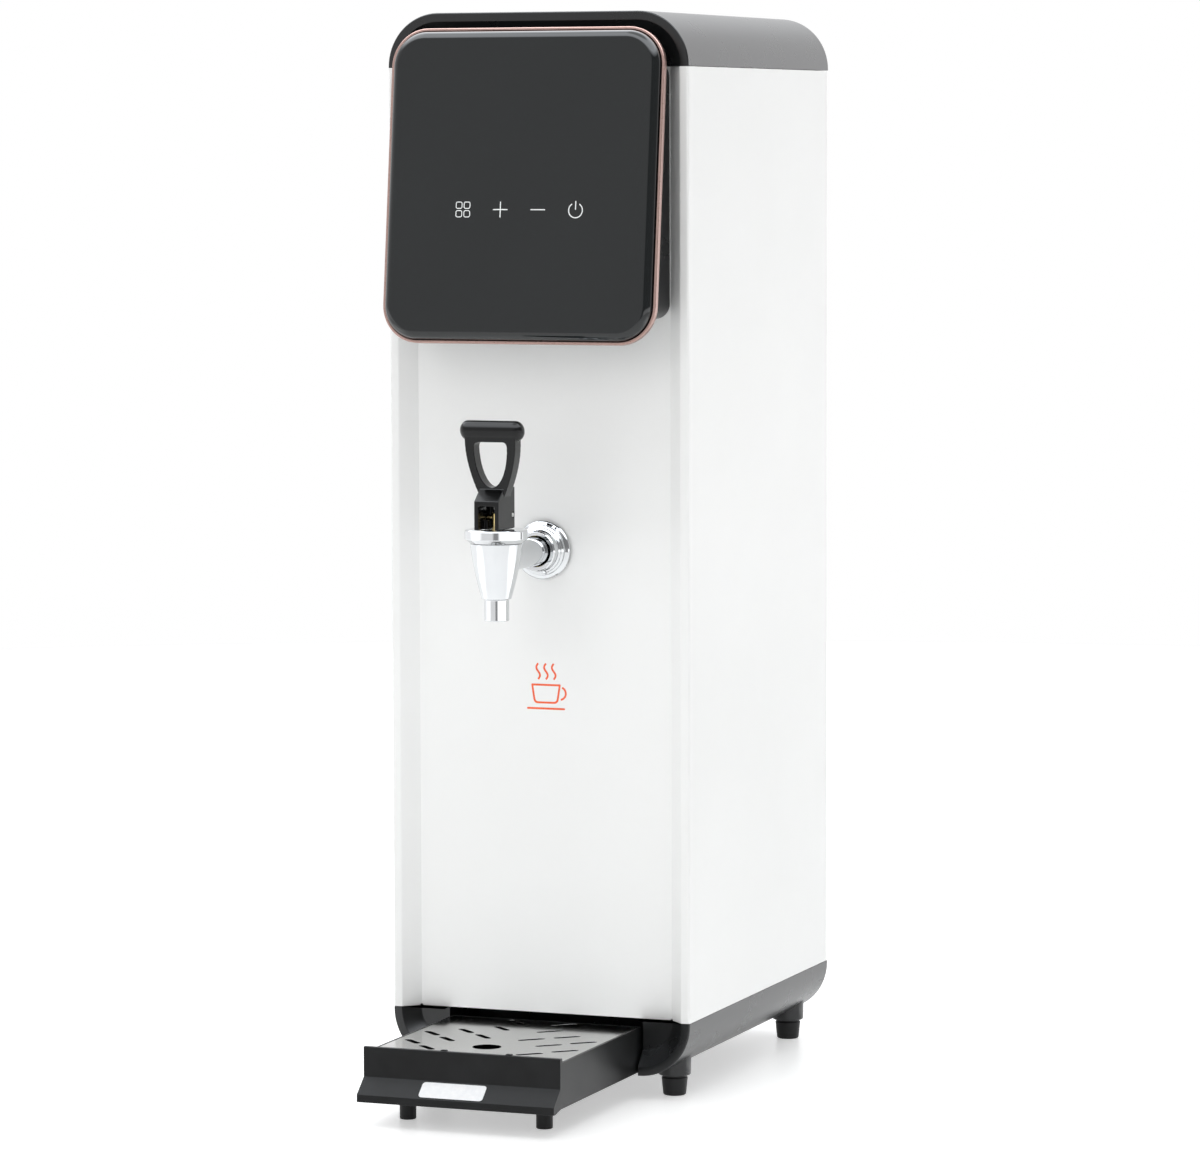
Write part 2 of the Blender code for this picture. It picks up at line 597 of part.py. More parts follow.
def make_handle():
    """The lever handle: a forked block on the pin, a wishbone and a round grip bar."""
    base = BONNET_TOP + GAP
    heel = PIN_Z - base
    side = [(-0.090, base)] + arc((PIN_Y, PIN_Z), heel, -90.0, -70.0, 3)
    side += [(-0.062, 0.4045), (-0.082, 0.4045), (-0.090, 0.3980)]
    handle = plate_x("tap_handle", side, -HANDLE_HALF, HANDLE_HALF, BLACK)
    outline, opening = handle_loop()
    loop = plate_y("handle_loop", outline, -0.0052, 0.0052, BLACK, [opening], parent=HANDLE_LEAN)
    loop.location.z -= LEAN_Z
    half = BAR_LENGTH / 2 - BAR_RADIUS
    ends = arc((half, 0.0), BAR_RADIUS, 90.0, 0.0, 6)
    profile = [(r, x) for x, r in ends]
    profile += [(r, -x) for x, r in reversed(ends)]
    bar = turned("handle_bar", profile, BLACK, 20, at=(0.0, 0.0, BAR_Z - LEAN_Z),
                 turn=(0.0, math.pi / 2, 0.0), parent=HANDLE_LEAN)
    join(handle, loop, bar)
    ledge_top = 0.3870 - 0.00125 - GAP
    fork = [(-0.100, 0.370), (-0.050, 0.370), (-0.050, 0.3935), (-0.100, 0.3935)]
    room = [(-0.100, ledge_top), (-0.0705, ledge_top), (-0.0705, 0.3945), (-0.100, 0.3945)]
    mouth = [(-0.100, 0.370), (-0.0800, 0.370), (-0.0800, 0.3945), (-0.100, 0.3945)]
    tools = (
        plate_x("fork_gap", fork, -0.0030, 0.0030, BLACK),
        plate_x("cross_head_room", room, -0.0056, 0.0056, BLACK),
        plate_x("fork_mouth", mouth, -0.0058, 0.0058, BLACK),
        rod("pin_bore", 0.0018, (-0.020, PIN_Y, PIN_Z), (0.020, PIN_Y, PIN_Z), BLACK, 12),
    )
    cut(handle, *tools)
    handle.parent = HANDLE_FRAME
    handle.location = (-HANDLE_HALF, -PIN_Y, -PIN_Z)
    rod("handle_pin", 0.0014, (-0.0086, PIN_Y, PIN_Z), (0.0086, PIN_Y, PIN_Z), STEEL, 12)


# ---- Drip tray ------------------------------------------------------------------------------
def make_tray():
    """The drip tray: a black basin with a flared front lip and a tongue for the base's bay."""
    side = [
        (LIP_Y + 0.003, TRAY_TOP), (LIP_Y + 0.003, TRAY_BOTTOM), (TRAY_REAR, TRAY_BOTTOM),
        (TRAY_REAR, SHELF_TOP + GAP), (0.040, SHELF_TOP + GAP), (0.040, 0.0212),
        (TRAY_REAR, 0.0212), (TRAY_REAR, TRAY_TOP),
    ]
    tray = plate_x("drip_tray", side, -TRAY_HALF, TRAY_HALF, BLACK)
    lip_side = [
        (LIP_Y, 0.0497), (LIP_Y, 0.0302), (-TRAY_REACH, 0.0204), (-TRAY_REACH, 0.0155),
        (-TRAY_REACH + 0.003, 0.0155), (LIP_Y + 0.0035, 0.0180), (LIP_Y + 0.0035, 0.0497),
    ]
    join(tray, plate_x("tray_lip", lip_side, -LIP_HALF, LIP_HALF, BLACK))
    ledge = TRAY_TOP - GRILLE_THICK - GAP
    front, rear = GRILLE_Y
    middle = (front + rear) / 2
    upper = rectangle(2 * (TRAY_HALF - TRAY_WALL + 0.0001), rear - front + 0.0008, (0.0, middle))
    lower = rectangle(2 * (TRAY_HALF - 0.0035), rear - front - 0.004, (0.0, middle))
    tools = (
        plate_z("grille_pocket", upper, ledge, 0.060, BLACK),
        plate_z("basin", lower, TRAY_BOTTOM + TRAY_WALL, 0.060, BLACK),
    )
    cut(tray, *tools)


def grille_slots():
    """Slanting slots in three columns each side, mirrored, running inwards to the front."""
    columns = (
        (0.0170, (-0.0580, -0.0255, 0.0)),
        (0.0355, (-0.1080, -0.0745, -0.0420)),
        (0.0530, (-0.0905, -0.0577)),
    )
    return [slot(0.0184, 0.0038, side * 42.0, (side * x, y))
            for side in (-1, 1) for x, rows in columns for y in rows]


def make_grille():
    front, rear = GRILLE_Y
    width = 2 * (TRAY_HALF - TRAY_WALL - 0.0003)
    outline = rounded_rectangle(width, rear - front, 0.002, 2, (0.0, (front + rear) / 2))
    drain = circle(0.0094, 20, (0.0, -0.0930))
    plate_z("drip_grille", outline, TRAY_TOP - GRILLE_THICK, TRAY_TOP, STEEL, [drain] + grille_slots())


def make_tray_trim():
    """The blank label on the flared lip, and the tray's own two feet."""
    run = (TRAY_REACH + LIP_Y, 0.0302 - 0.0204)
    slope = math.atan2(run[1], run[0])
    middle = (-(TRAY_REACH - LIP_Y) / 2, (0.0302 + 0.0204) / 2)
    offset = GAP + 0.00005
    at = (-0.0035, middle[0] - offset * math.sin(slope), middle[1] + offset * math.cos(slope))
    plate("tray_label", rounded_rectangle(0.0440, 0.0130, 0.002, 3), 0.0004, WHITE_PLASTIC,
          at=at, turn=(slope, 0.0, 0.0))
    top = TRAY_BOTTOM - GAP
    profile = [(0.0, 0.0), (0.0050, 0.0), (0.0054, 0.0006), (0.0054, top), (0.0, top)]
    for side, hand in ((-1, "left"), (1, "right")):
        turned(f"tray_foot_{hand}", profile, RUBBER, 16, at=(side * 0.0473, -0.1120, 0.0))


# ---- Boiler ---------------------------------------------------------------------------------
def make_tank():
    """The stainless tank: an open pot with a rim, a tap outlet and two ports in its floor.

    The stubs cross the pot's thin facets, which the EXACT solver doesn't always close.
    """
    wall = SHEET
    outer = [(0.0, TANK_BOTTOM)] + arc((TANK_RADIUS - 0.005, TANK_BOTTOM + 0.005), 0.005, -90.0, 0.0, 3)
    rim = [
        (TANK_RADIUS, TANK_TOP - 0.0015), (0.078, TANK_TOP - 0.0015), (0.078, TANK_TOP),
        (TANK_RADIUS - wall, TANK_TOP),
    ]
    inner = arc((TANK_RADIUS - 0.005, TANK_BOTTOM + 0.005), 0.005 - wall, 0.0, -90.0, 3)
    tank = turned("boiler_tank", outer + rim + inner + [(0.0, TANK_BOTTOM + wall)], STEEL, 32,
                  at=(0.0, TANK_Y, 0.0))
    front = TANK_Y - TANK_RADIUS
    stub = rod("outlet_stub", 0.0098, (0.0, front + 0.0010, TAP_Z), (0.0, 0.0420, TAP_Z), STEEL, 20)
    join(tank, stub, solver="MANIFOLD")
    bore = rod("outlet_bore", 0.0060, (0.0, front + 0.020, TAP_Z), (0.0, 0.030, TAP_Z), STEEL, 16)
    cut(tank, bore, solver="MANIFOLD")
    floor = TANK_BOTTOM + wall / 2
    for name, x in TANK_PORTS.items():
        foot = (x, TANK_PORT_Y, 0.108)
        stub = rod(f"{name}_stub", 0.0060, foot, (x, TANK_PORT_Y, floor), STEEL, 16)
        join(tank, stub, solver="MANIFOLD")
        bore = rod(f"{name}_bore", 0.0040, (x, TANK_PORT_Y, 0.100), (x, TANK_PORT_Y, 0.130), STEEL, 12)
        cut(tank, bore, solver="MANIFOLD")
    for side in (-1, 1):
        x, y = side * ELEMENT_LEG[0], ELEMENT_LEG[1]
        hole = rod(f"element_hole_{'left' if side < 0 else 'right'}", 0.0044,
                   (x, y, 0.110), (x, y, 0.130), STEEL, 12)
        cut(tank, hole, solver="MANIFOLD")


def c_ring(inner, outer, centre, gap_centre, gap_half, steps):
    """A ring's outline with a gap, its angles in degrees."""
    start, end = gap_centre + gap_half, gap_centre + 360.0 - gap_half
    return arc(centre, outer, start, end, steps) + arc(centre, inner, end, start, steps)


def make_tank_fittings():
    """What surrounds the tank: stand, split foam jacket, gasket and lid."""
    centre = (0.0, TANK_Y)
    stand = c_ring(0.0600, 0.0620, centre, 90.0, 60.0, 20)
    plate_z("tank_stand", stand, CASE_BOTTOM + 0.0021, TANK_BOTTOM - GAP, PLATED)
    jacket = c_ring(TANK_RADIUS + GAP, JACKET_RADIUS, centre, 270.0, 12.0, 30)
    plate_z("insulation_jacket", jacket, TANK_BOTTOM + 0.001, TANK_TOP - 0.0020, FOAM)
    plate_z("lid_gasket", circle(0.0775, 32, centre), TANK_TOP + GAP, TANK_TOP + 0.0023, SILICONE,
            [circle(0.0690, 32, centre)])
    holes = [
        circle(0.0033, 12, (-0.030, TANK_Y + 0.020)), circle(0.0033, 12, (-0.030, TANK_Y - 0.010)),
        circle(0.0033, 12, (0.0, TANK_Y - 0.040)), circle(0.0050, 16, (0.040, TANK_Y + 0.025)),
    ]
    plate_z("tank_lid", circle(0.0780, 32, centre), TANK_TOP + 0.0026, LID_TOP, STEEL, holes)


def make_sensor(name, x, y, head, tip):
    """A rod through the lid: an insulating head, a sleeve and the probe itself."""
    profile = [
        (0.0, tip), (0.0020, tip), (0.0020, 0.5350), (0.0030, 0.5350), (0.0030, LID_TOP + GAP),
        (head, LID_TOP + GAP), (head, LID_TOP + 0.008), (0.0030, LID_TOP + 0.010),
        (0.0018, LID_TOP + 0.016), (0.0, LID_TOP + 0.016),
    ]
    turned(name, profile, STEEL, 12, at=(x, y, 0.0))


def make_sensors():
    make_sensor("level_probe_high", -0.030, TANK_Y + 0.020, 0.0050, 0.4700)
    make_sensor("level_probe_low", -0.030, TANK_Y - 0.010, 0.0050, 0.3800)
    make_sensor("temperature_sensor", 0.0, TANK_Y - 0.040, 0.0060, 0.3600)
    base = LID_TOP + GAP
    disc = [(0.0, base), (0.0120, base), (0.0120, base + 0.004), (0.0085, base + 0.0045),
            (0.0085, base + 0.010), (0.0, base + 0.010)]
    turned("overheat_thermostat", disc, WHITE_PLASTIC, 20, at=(0.020, TANK_Y + 0.002, 0.0))


def make_element():
    """The immersion heater: one ring near the tank's floor, with both ends down through it."""
    x, y = ELEMENT_LEG
    radius = math.hypot(x, y - TANK_Y)
    level = 0.160
    start = math.degrees(math.atan2(y - TANK_Y, x))
    ring = arc((0.0, TANK_Y), radius, start - 14.0, -180.0 - start + 14.0, 28)
    right = [(x, y, 0.092), (x, y, 0.120), (x, y, level - 0.012), (x + 0.002, y - 0.002, level - 0.003)]
    left = [(-px, py, pz) for px, py, pz in reversed(right)]
    route = right + [(px, py, level) for px, py in ring] + left
    tube("heating_element", smooth_route(route, 1), 0.0040, STEEL)


def make_hoses():
    """Silicone hoses: water in, drain and steam vent."""
    inlet_x, drain_x = TANK_PORTS["inlet"], TANK_PORTS["drain"]
    port_end = 0.1077
    tube("inlet_hose", smooth_route([
        (VALVE_X, 0.2147, PORT_Z), (VALVE_X, 0.200, PORT_Z), (-0.044, 0.160, 0.078),
        (-0.037, 0.128, 0.078), (inlet_x, TANK_PORT_Y, 0.092), (inlet_x, TANK_PORT_Y, port_end),
    ]), 0.0050, SILICONE)
    tube("drain_hose", smooth_route([
        (drain_x, TANK_PORT_Y, port_end), (drain_x, TANK_PORT_Y, 0.095), (0.013, 0.130, 0.078),
        (0.016, 0.165, 0.073), (0.034, 0.220, 0.078), (DRAIN_X, 0.247, PORT_Z),
        (DRAIN_X, 0.2617, PORT_Z),
    ]), 0.0060, SILICONE)
    tube("vent_pipe", smooth_route([
        (0.040, TANK_Y + 0.025, LID_TOP + GAP), (0.040, TANK_Y + 0.025, 0.575), (0.048, 0.185, 0.610),
        (0.072, 0.236, 0.602), (0.088, 0.256, 0.550), (0.088, 0.258, 0.400), (0.088, 0.252, 0.200),
        (0.084, 0.240, 0.110), (OVERFLOW_X, 0.250, PORT_Z), (OVERFLOW_X, 0.2617, PORT_Z),
    ]), 0.0048, SILICONE)


# ---- Rear ports -----------------------------------------------------------------------------
def make_inlet_valve():
    """The solenoid valve: threaded inlet through the rear panel, coil and plunger on top."""
    inner_face = REAR_FACE - SHEET - GAP
    profile = [
        (0.0, 0.2350), (0.0120, 0.2350), (0.0120, 0.2690), (0.0160, 0.2700), (0.0160, inner_face),
        (0.0132, inner_face), (0.0132, CASE_DEPTH + REAR_REACH), (0.0, CASE_DEPTH + REAR_REACH),
    ]
    valve = turned_y("inlet_valve", profile, VALVE_X, PORT_Z, WHITE_PLASTIC)
    centre_y = 0.2520
    join(valve, rod("valve_nozzle", 0.0050, (VALVE_X, 0.2150, PORT_Z), (VALVE_X, 0.2400, PORT_Z), BRASS, 16),
         rod("armature_tube", 0.0056, (VALVE_X, centre_y, 0.0820), (VALVE_X, centre_y, 0.1310), BRASS, 16))
    tools = (
        rod("armature_bore", 0.0043, (VALVE_X, centre_y, 0.0836), (VALVE_X, centre_y, 0.1290), BRASS, 16),
        rod("inlet_bore", 0.0090, (VALVE_X, 0.2620, PORT_Z), (VALVE_X, 0.3200, PORT_Z), BRASS, 20),
        rod("filter_bore", 0.0030, (VALVE_X, 0.2100, PORT_Z), (VALVE_X, 0.2700, PORT_Z), BRASS, 12),
    )
    cut(valve, *tools)
    outline = rounded_rectangle(0.030, 0.032, 0.004, 3, (VALVE_X, centre_y))
    plate_z("valve_coil", outline, 0.0990, 0.1285, COPPER, [circle(0.0059, 16, (VALVE_X, centre_y))])
    plunger = [(0.0, 0.0890), (0.0034, 0.0890), (0.0040, 0.0900), (0.0040, 0.1150), (0.0, 0.1150)]
    turned("valve_plunger", plunger, STEEL, 16, at=(VALVE_X, centre_y, 0.0))


def make_port(name, x, z, bore, front, rear, material):
    """A hose fitting through the rear panel, with its flange inside."""
    inner_face = REAR_FACE - SHEET - GAP
    profile = [
        (bore, front), (0.0060, front), (0.0060, 0.2760), (0.0105, 0.2760), (0.0105, inner_face),
        (0.0080, inner_face), (0.0080, rear), (bore, rear),
    ]
    turned_y(name, profile, x, z, material, 20)


def make_rear_ports():
    make_port("drain_fitting", DRAIN_X, PORT_Z, 0.0042, 0.2620, 0.2940, BRASS)
    make_port("overflow_fitting", OVERFLOW_X, PORT_Z, 0.0042, 0.2620, 0.3000, WHITE_PLASTIC)
    cap = [
        (0.0, 0.3000), (0.0110, 0.3000), (0.0120, 0.2990), (0.0120, REAR_FACE + GAP),
        (0.0083, REAR_FACE + GAP), (0.0083, 0.2945), (0.0, 0.2945),
    ]
    turned_y("drain_cap", cap, DRAIN_X, PORT_Z, BLACK)
    gland = [
        (0.0036, 0.2700), (0.0080, 0.2700), (0.0080, REAR_FACE + GAP), (0.0115, REAR_FACE + GAP),
        (0.0115, 0.2890), (0.0100, 0.2900), (0.0095, 0.2960), (0.0065, 0.3000), (0.0036, 0.3000),
    ]
    turned_y("cable_gland", gland, 0.0, GLAND_Z, BLACK, 20)
    hexagon = circle(0.0125, 6, (0.0, GLAND_Z))
    bore = circle(0.0083, 20, (0.0, GLAND_Z))
    plate_y("gland_nut", hexagon, 0.2755, REAR_FACE - SHEET - GAP, BLACK, [bore])


# ---- Control electronics --------------------------------------------------------------------
def make_bracket():
    """The sheet bracket behind the tank, standing on the chassis on two legs."""
    left, right, top, shoulder = -0.095, 0.075, 0.490, 0.290
    foot = CASE_BOTTOM + 0.0021
    outline = [
        (left, foot), (left + 0.015, foot), (left + 0.015, shoulder), (right - 0.015, shoulder),
        (right - 0.015, foot), (right, foot), (right, top), (left, top),
    ]
    bracket = plate_y("board_bracket", outline, 0.2125, 0.2140, PLATED)
    for x in (-0.064, 0.044):
        for z in (0.302, 0.478):
            post = rod(f"post_{'l' if x < 0 else 'r'}{'t' if z > 0.4 else 'b'}", 0.0030,
                       (x, 0.2130, z), (x, 0.2220, z), PLATED, 10)
            join(bracket, post)


def make_board():
    """The power board and what stands on it."""
    outline = rounded_rectangle(0.120, 0.190, 0.002, 2, (-0.010, 0.390))
    plate_y("power_board", outline, 0.2223, 0.2239, BOARD)
    face = 0.2242
    relay = rounded_rectangle(0.028, 0.022, 0.001, 1, (-0.045, 0.440))
    plate_y("relay", relay, face, face + 0.016, BLACK)
    core = rectangle(0.040, 0.034, (0.020, 0.445))
    transformer = plate_y("transformer", core, face, face + 0.020, PLATED)
    join(transformer, plate_y("winding", rounded_rectangle(0.026, 0.028, 0.004, 2, (0.020, 0.445)),
                              face + 0.010, face + 0.030, COPPER))
    fins = []
    for i in range(7):
        left, right = -0.060 + 0.007 * i, -0.0575 + 0.007 * i
        fins += [(left, face + 0.004), (left, face + 0.026), (right, face + 0.026), (right, face + 0.004)]
    plate_z("heat_sink", [(-0.060, face)] + fins + [(right, face)], 0.355, 0.400, PLATED)
    block = [
        (face, 0.302), (face + 0.014, 0.302), (face + 0.014, 0.310), (face + 0.009, 0.316), (face, 0.316),
    ]
    plate_x("terminal_block", block, -0.040, 0.020, WHITE_PLASTIC)


def make_signal_cable():
    """The cable from the touch board over the tank to the power board."""
    z = CABLE_Z
    tube("signal_cable", smooth_route([
        (0.0, panel_y(z, -0.0083) + 0.0005, z), (0.0, 0.004, z), (0.0, 0.022, z + 0.002),
        (-0.006, 0.050, z + 0.012), (-0.012, 0.110, z + 0.020), (-0.012, 0.180, z + 0.010),
        (-0.010, 0.222, z - 0.020), (-0.010, 0.232, z - 0.060), (-0.010, 0.231, 0.4865),
    ], 4), 0.0020, WHITE_PLASTIC)


def build():
    make_casing()
    make_rear_panel()
    moulded_end("top_cover", CASE_TOP, TOTAL_HEIGHT)
    make_base()
    make_feet()
    make_chassis()
    make_panel_housing()
    make_panel()
    make_tap_mounting()
    make_tap_body()
    make_bonnet()
    make_valve()
    make_handle()
    make_tray()
    make_grille()
    make_tray_trim()
    make_tank()
    make_tank_fittings()
    make_sensors()
    make_element()
    make_hoses()
    make_inlet_valve()
    make_rear_ports()
    make_bracket()
    make_board()
    make_signal_cable()


build()
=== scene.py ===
"""Looks of a countertop water dispenser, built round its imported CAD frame.

Units are metres and +Z is up. Pieces are modelled in the casing's own frame, where X is 0 on the
centre line, Y is 0 at the casing's front rims and Z is 0 on the ground, and are then moved back by
RIMS_Y into the CAD's frame.
"""
import json
import math

import bmesh
import bpy
from mathutils import Matrix, Vector


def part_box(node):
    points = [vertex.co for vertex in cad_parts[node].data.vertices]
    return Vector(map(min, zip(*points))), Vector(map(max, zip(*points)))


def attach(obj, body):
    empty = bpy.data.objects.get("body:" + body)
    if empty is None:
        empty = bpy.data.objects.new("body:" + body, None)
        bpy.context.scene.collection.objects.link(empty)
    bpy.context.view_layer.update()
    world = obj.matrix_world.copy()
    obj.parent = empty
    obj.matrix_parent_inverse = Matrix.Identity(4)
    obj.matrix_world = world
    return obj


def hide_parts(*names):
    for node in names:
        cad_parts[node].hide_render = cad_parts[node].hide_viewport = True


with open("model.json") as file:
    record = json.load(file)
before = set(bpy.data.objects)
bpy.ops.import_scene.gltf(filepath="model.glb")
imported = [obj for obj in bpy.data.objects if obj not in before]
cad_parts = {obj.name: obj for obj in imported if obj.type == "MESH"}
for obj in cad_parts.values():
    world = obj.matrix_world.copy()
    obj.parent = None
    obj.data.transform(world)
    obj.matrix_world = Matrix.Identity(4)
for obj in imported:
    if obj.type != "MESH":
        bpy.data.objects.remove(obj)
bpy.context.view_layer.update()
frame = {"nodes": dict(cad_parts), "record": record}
NODES = frame["nodes"]


def span(name):
    """A CAD node's lowest and highest corners, in the casing's frame."""
    low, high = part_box(name)
    return low - Vector((0.0, RIMS_Y, 0.0)), high - Vector((0.0, RIMS_Y, 0.0))


def middle_of(name):
    """The middle of a CAD node in plan, on the ground and in the casing's frame."""
    low, high = span(name)
    return (low.x + high.x) / 2, (low.y + high.y) / 2, 0.0


# ---- Sizes, from the frame and from a few driving dimensions ----------------------------------
RIMS_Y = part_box("outer_casing")[0].y
CASE_LOW, CASE_HIGH = span("outer_casing")
HALF_WIDTH = CASE_HIGH.x
REAR_Y = span("rear_panel")[1].y
COVER_LOW, COVER_HIGH = span("top_cover")
BASE_TOP = span("base_shell")[1].z
SEAM = 0.0003
BASE_BOTTOM = 0.0157
COLLAR_BOTTOM = span("base_shell")[0].z
CORNER = 0.035
RIM = 0.006
RECESS = 0.010
SHEET = 0.0012
WALL = 0.0025
FRONT_X = HALF_WIDTH - RIM - RECESS
PANEL_CENTRE = Vector((0.0, -0.0213, 0.5981))
PANEL_TILT = math.radians(6.35)
PANEL_SIZE = (0.190, 0.2054)
PANEL_RADIUS = 0.025
TRIM_DEPTH = 0.0045
TRIM_LIP = 0.0018
GLASS_INSET = 0.0023
BEVEL_SIZE = (0.0056, 0.0062)
TAP_Z = 0.3597
TAP_Y = -0.073
STEM_Y = -0.075
PIN = (-0.065, 0.388)
BONNET_Z = (0.3703, 0.379)
CROSS_Z, CROSS_RADIUS = 0.3870, 0.00125
HANDLE_LEAN, LEAN_Z = -0.095, 0.400
LOOP_Z, LOOP_TOP = 0.3960, 0.440
BAR_Z, BAR_RADIUS, BAR_LENGTH = 0.44265, 0.00665, 0.042
TRAY_LOW, TRAY_HIGH = span("drip_tray")
TRAY_HALF = 0.067
LIP_Y = -0.136
FLARE_Z = (0.0204, 0.0302)
TRAY_TOP = 0.0464
TRAY_REAR = 0.0122
BAY_HALF = 0.0688
GRILLE_LOW, GRILLE_HIGH = span("drip_grille")
FEET = [f"foot_{end}_{hand}" for end in ("front", "rear") for hand in ("left", "right")]
PORT_Z = 0.085
INLET_X, DRAIN_X, OVERFLOW_X = -0.050, 0.045, 0.080
GLAND_X, GLAND_Z = 0.0, 0.125

FRONT_FRAME = Matrix.Translation((0.0, RIMS_Y, 0.0))
PANEL_FRAME = (FRONT_FRAME @ Matrix.Translation(PANEL_CENTRE)
               @ Matrix.Rotation(math.pi / 2 - PANEL_TILT, 4, "X"))
LYING = Matrix.Rotation(math.pi / 2, 4, "X")  # a lathe's own +Z then points to the front


# ---- Materials ---------------------------------------------------------------------------------
def node(tree, kind, settings=None, **inputs):
    """A shader node with its settings, and its inputs given as values or as other sockets."""
    made = tree.nodes.new(kind)
    for name, value in (settings or {}).items():
        setattr(made, name, value)
    for name, value in inputs.items():
        socket = made.inputs[name.replace("_", " ")]
        if isinstance(value, bpy.types.NodeSocket):
            tree.links.new(value, socket)
        else:
            socket.default_value = value
    return made


def ramp(tree, factor, stops):
    made = node(tree, "ShaderNodeValToRGB", Fac=factor)
    points = made.color_ramp.elements
    while len(points) < len(stops):
        points.new(1.0)
    for point, (place, colour) in zip(points, stops):
        point.position = place
        point.color = (*colour, 1.0)
    return made.outputs["Color"]


def spread(tree, factor, low, high, start=0.3, end=0.7):
    made = node(tree, "ShaderNodeMapRange", Value=factor, To_Min=low, To_Max=high)
    made.inputs["From Min"].default_value = start
    made.inputs["From Max"].default_value = end
    return made.outputs["Result"]


def surface(name, colours, scale, roughness, metallic=0.0, stretch=(1.0, 1.0, 1.0),
            grain=(600.0, 0.1, 0.0001), grain_stretch=(1.0, 1.0, 1.0), cells=False, **fixed):
    """A finish whose colour and roughness drift with one noise and whose relief is another.

    colours are the two ends of the drift, scale its frequency per metre, roughness its low and
    high values, and grain the relief's frequency, strength and height.
    """
    material = bpy.data.materials.new(name)
    material.use_nodes = True
    tree = material.node_tree
    shader = tree.nodes["Principled BSDF"]
    place = tree.nodes.new("ShaderNodeTexCoord").outputs["Object"]
    drawn = node(tree, "ShaderNodeMapping", Vector=place, Scale=stretch).outputs["Vector"]
    drift = node(tree, "ShaderNodeTexNoise", Vector=drawn, Scale=scale, Detail=4.0).outputs["Fac"]
    tree.links.new(ramp(tree, drift, ((0.3, colours[0]), (0.7, colours[1]))), shader.inputs["Base Color"])
    tree.links.new(spread(tree, drift, *roughness), shader.inputs["Roughness"])
    grained = node(tree, "ShaderNodeMapping", Vector=place, Scale=grain_stretch).outputs["Vector"]
    if cells:
        relief = node(tree, "ShaderNodeTexVoronoi", Vector=grained, Scale=grain[0]).outputs["Distance"]
    else:
        relief = node(tree, "ShaderNodeTexNoise", Vector=grained, Scale=grain[0], Detail=3.0).outputs["Fac"]
    bump = node(tree, "ShaderNodeBump", Height=relief, Strength=grain[1], Distance=grain[2])
    tree.links.new(bump.outputs["Normal"], shader.inputs["Normal"])
    shader.inputs["Metallic"].default_value = metallic
    for key, value in fixed.items():
        shader.inputs[key.replace("_", " ")].default_value = value
    material.diffuse_color = (*colours[1], 1.0)
    return material


def banded(material, direction, scale, strength, height):
    """Adds regular ridges, such as machining marks or a winding's wires, to a finish's relief."""
    tree = material.node_tree
    shader = tree.nodes["Principled BSDF"]
    before = shader.inputs["Normal"].links[0].from_socket
    place = tree.nodes.new("ShaderNodeTexCoord").outputs["Object"]
    wave = node(tree, "ShaderNodeTexWave", {"bands_direction": direction}, Vector=place, Scale=scale,
                Distortion=0.2)
    bump = node(tree, "ShaderNodeBump", Height=wave.outputs["Fac"], Strength=strength, Distance=height,
                Normal=before)
    tree.links.new(bump.outputs["Normal"], shader.inputs["Normal"])
    return material


PAINT = surface("white_paint", ((0.862, 0.864, 0.855), (0.884, 0.886, 0.877)), 7.0, (0.16, 0.22),
                grain=(420.0, 0.04, 0.0003), Specular_IOR_Level=0.20)
SATIN = surface("black_satin", ((0.0065, 0.007, 0.0075), (0.0085, 0.0092, 0.0098)), 40.0, (0.27, 0.285),
                grain=(2600.0, 0.01, 0.00001))
GLOSSY = surface("black_gloss_plastic", ((0.004, 0.0042, 0.0044), (0.007, 0.0072, 0.0075)), 60.0,
                 (0.13, 0.20), grain=(900.0, 0.06, 0.0001), Specular_IOR_Level=0.26)
TRAY_BLACK = surface("tray_plastic", ((0.010, 0.0102, 0.0104), (0.014, 0.0145, 0.015)), 55.0, (0.28, 0.34),
                     grain=(2400.0, 0.02, 0.00002), Specular_IOR_Level=0.13)
RUBBER = surface("foot_rubber", ((0.006, 0.006, 0.0062), (0.011, 0.011, 0.0115)), 90.0, (0.42, 0.55),
                 grain=(1500.0, 0.3, 0.00015), Specular_IOR_Level=0.25)
GLASS = surface("black_glass", ((0.0045, 0.0062, 0.0068), (0.0062, 0.0082, 0.0088)), 9.0, (0.015, 0.035),
                grain=(35.0, 0.02, 0.0002), IOR=1.52)
ROSE_GOLD = surface("rose_gold", ((0.37, 0.245, 0.216), (0.45, 0.305, 0.272)), 500.0, (0.26, 0.36), 1.0,
                    stretch=(1.0, 1.0, 8.0), grain=(2600.0, 0.15, 0.00008))
CHROME = surface("chrome", ((0.62, 0.632, 0.645), (0.67, 0.682, 0.693)), 30.0, (0.03, 0.06), 1.0,
                 grain=(60.0, 0.02, 0.0002))
BRUSHED = surface("brushed_steel", ((0.44, 0.437, 0.425), (0.49, 0.487, 0.475)), 700.0, (0.10, 0.14), 1.0,
                  stretch=(0.04, 1.0, 1.0), grain=(1800.0, 0.05, 0.00003),
                  grain_stretch=(0.02, 1.0, 1.0))
STEEL = surface("plain_steel", ((0.50, 0.50, 0.49), (0.62, 0.62, 0.60)), 120.0, (0.26, 0.38), 1.0,
                stretch=(1.0, 1.0, 0.1), grain=(900.0, 0.15, 0.00015), grain_stretch=(1.0, 1.0, 0.05))
ZINC = surface("zinc_plate", ((0.48, 0.50, 0.53), (0.66, 0.68, 0.70)), 160.0, (0.30, 0.46), 1.0,
               grain=(240.0, 0.12, 0.0003), cells=True)
BRASS = banded(surface("brass", ((0.80, 0.62, 0.27), (0.90, 0.72, 0.36)), 220.0, (0.20, 0.32), 1.0,
                       grain=(1500.0, 0.12, 0.0001)), "Z", 700.0, 0.10, 0.00005)
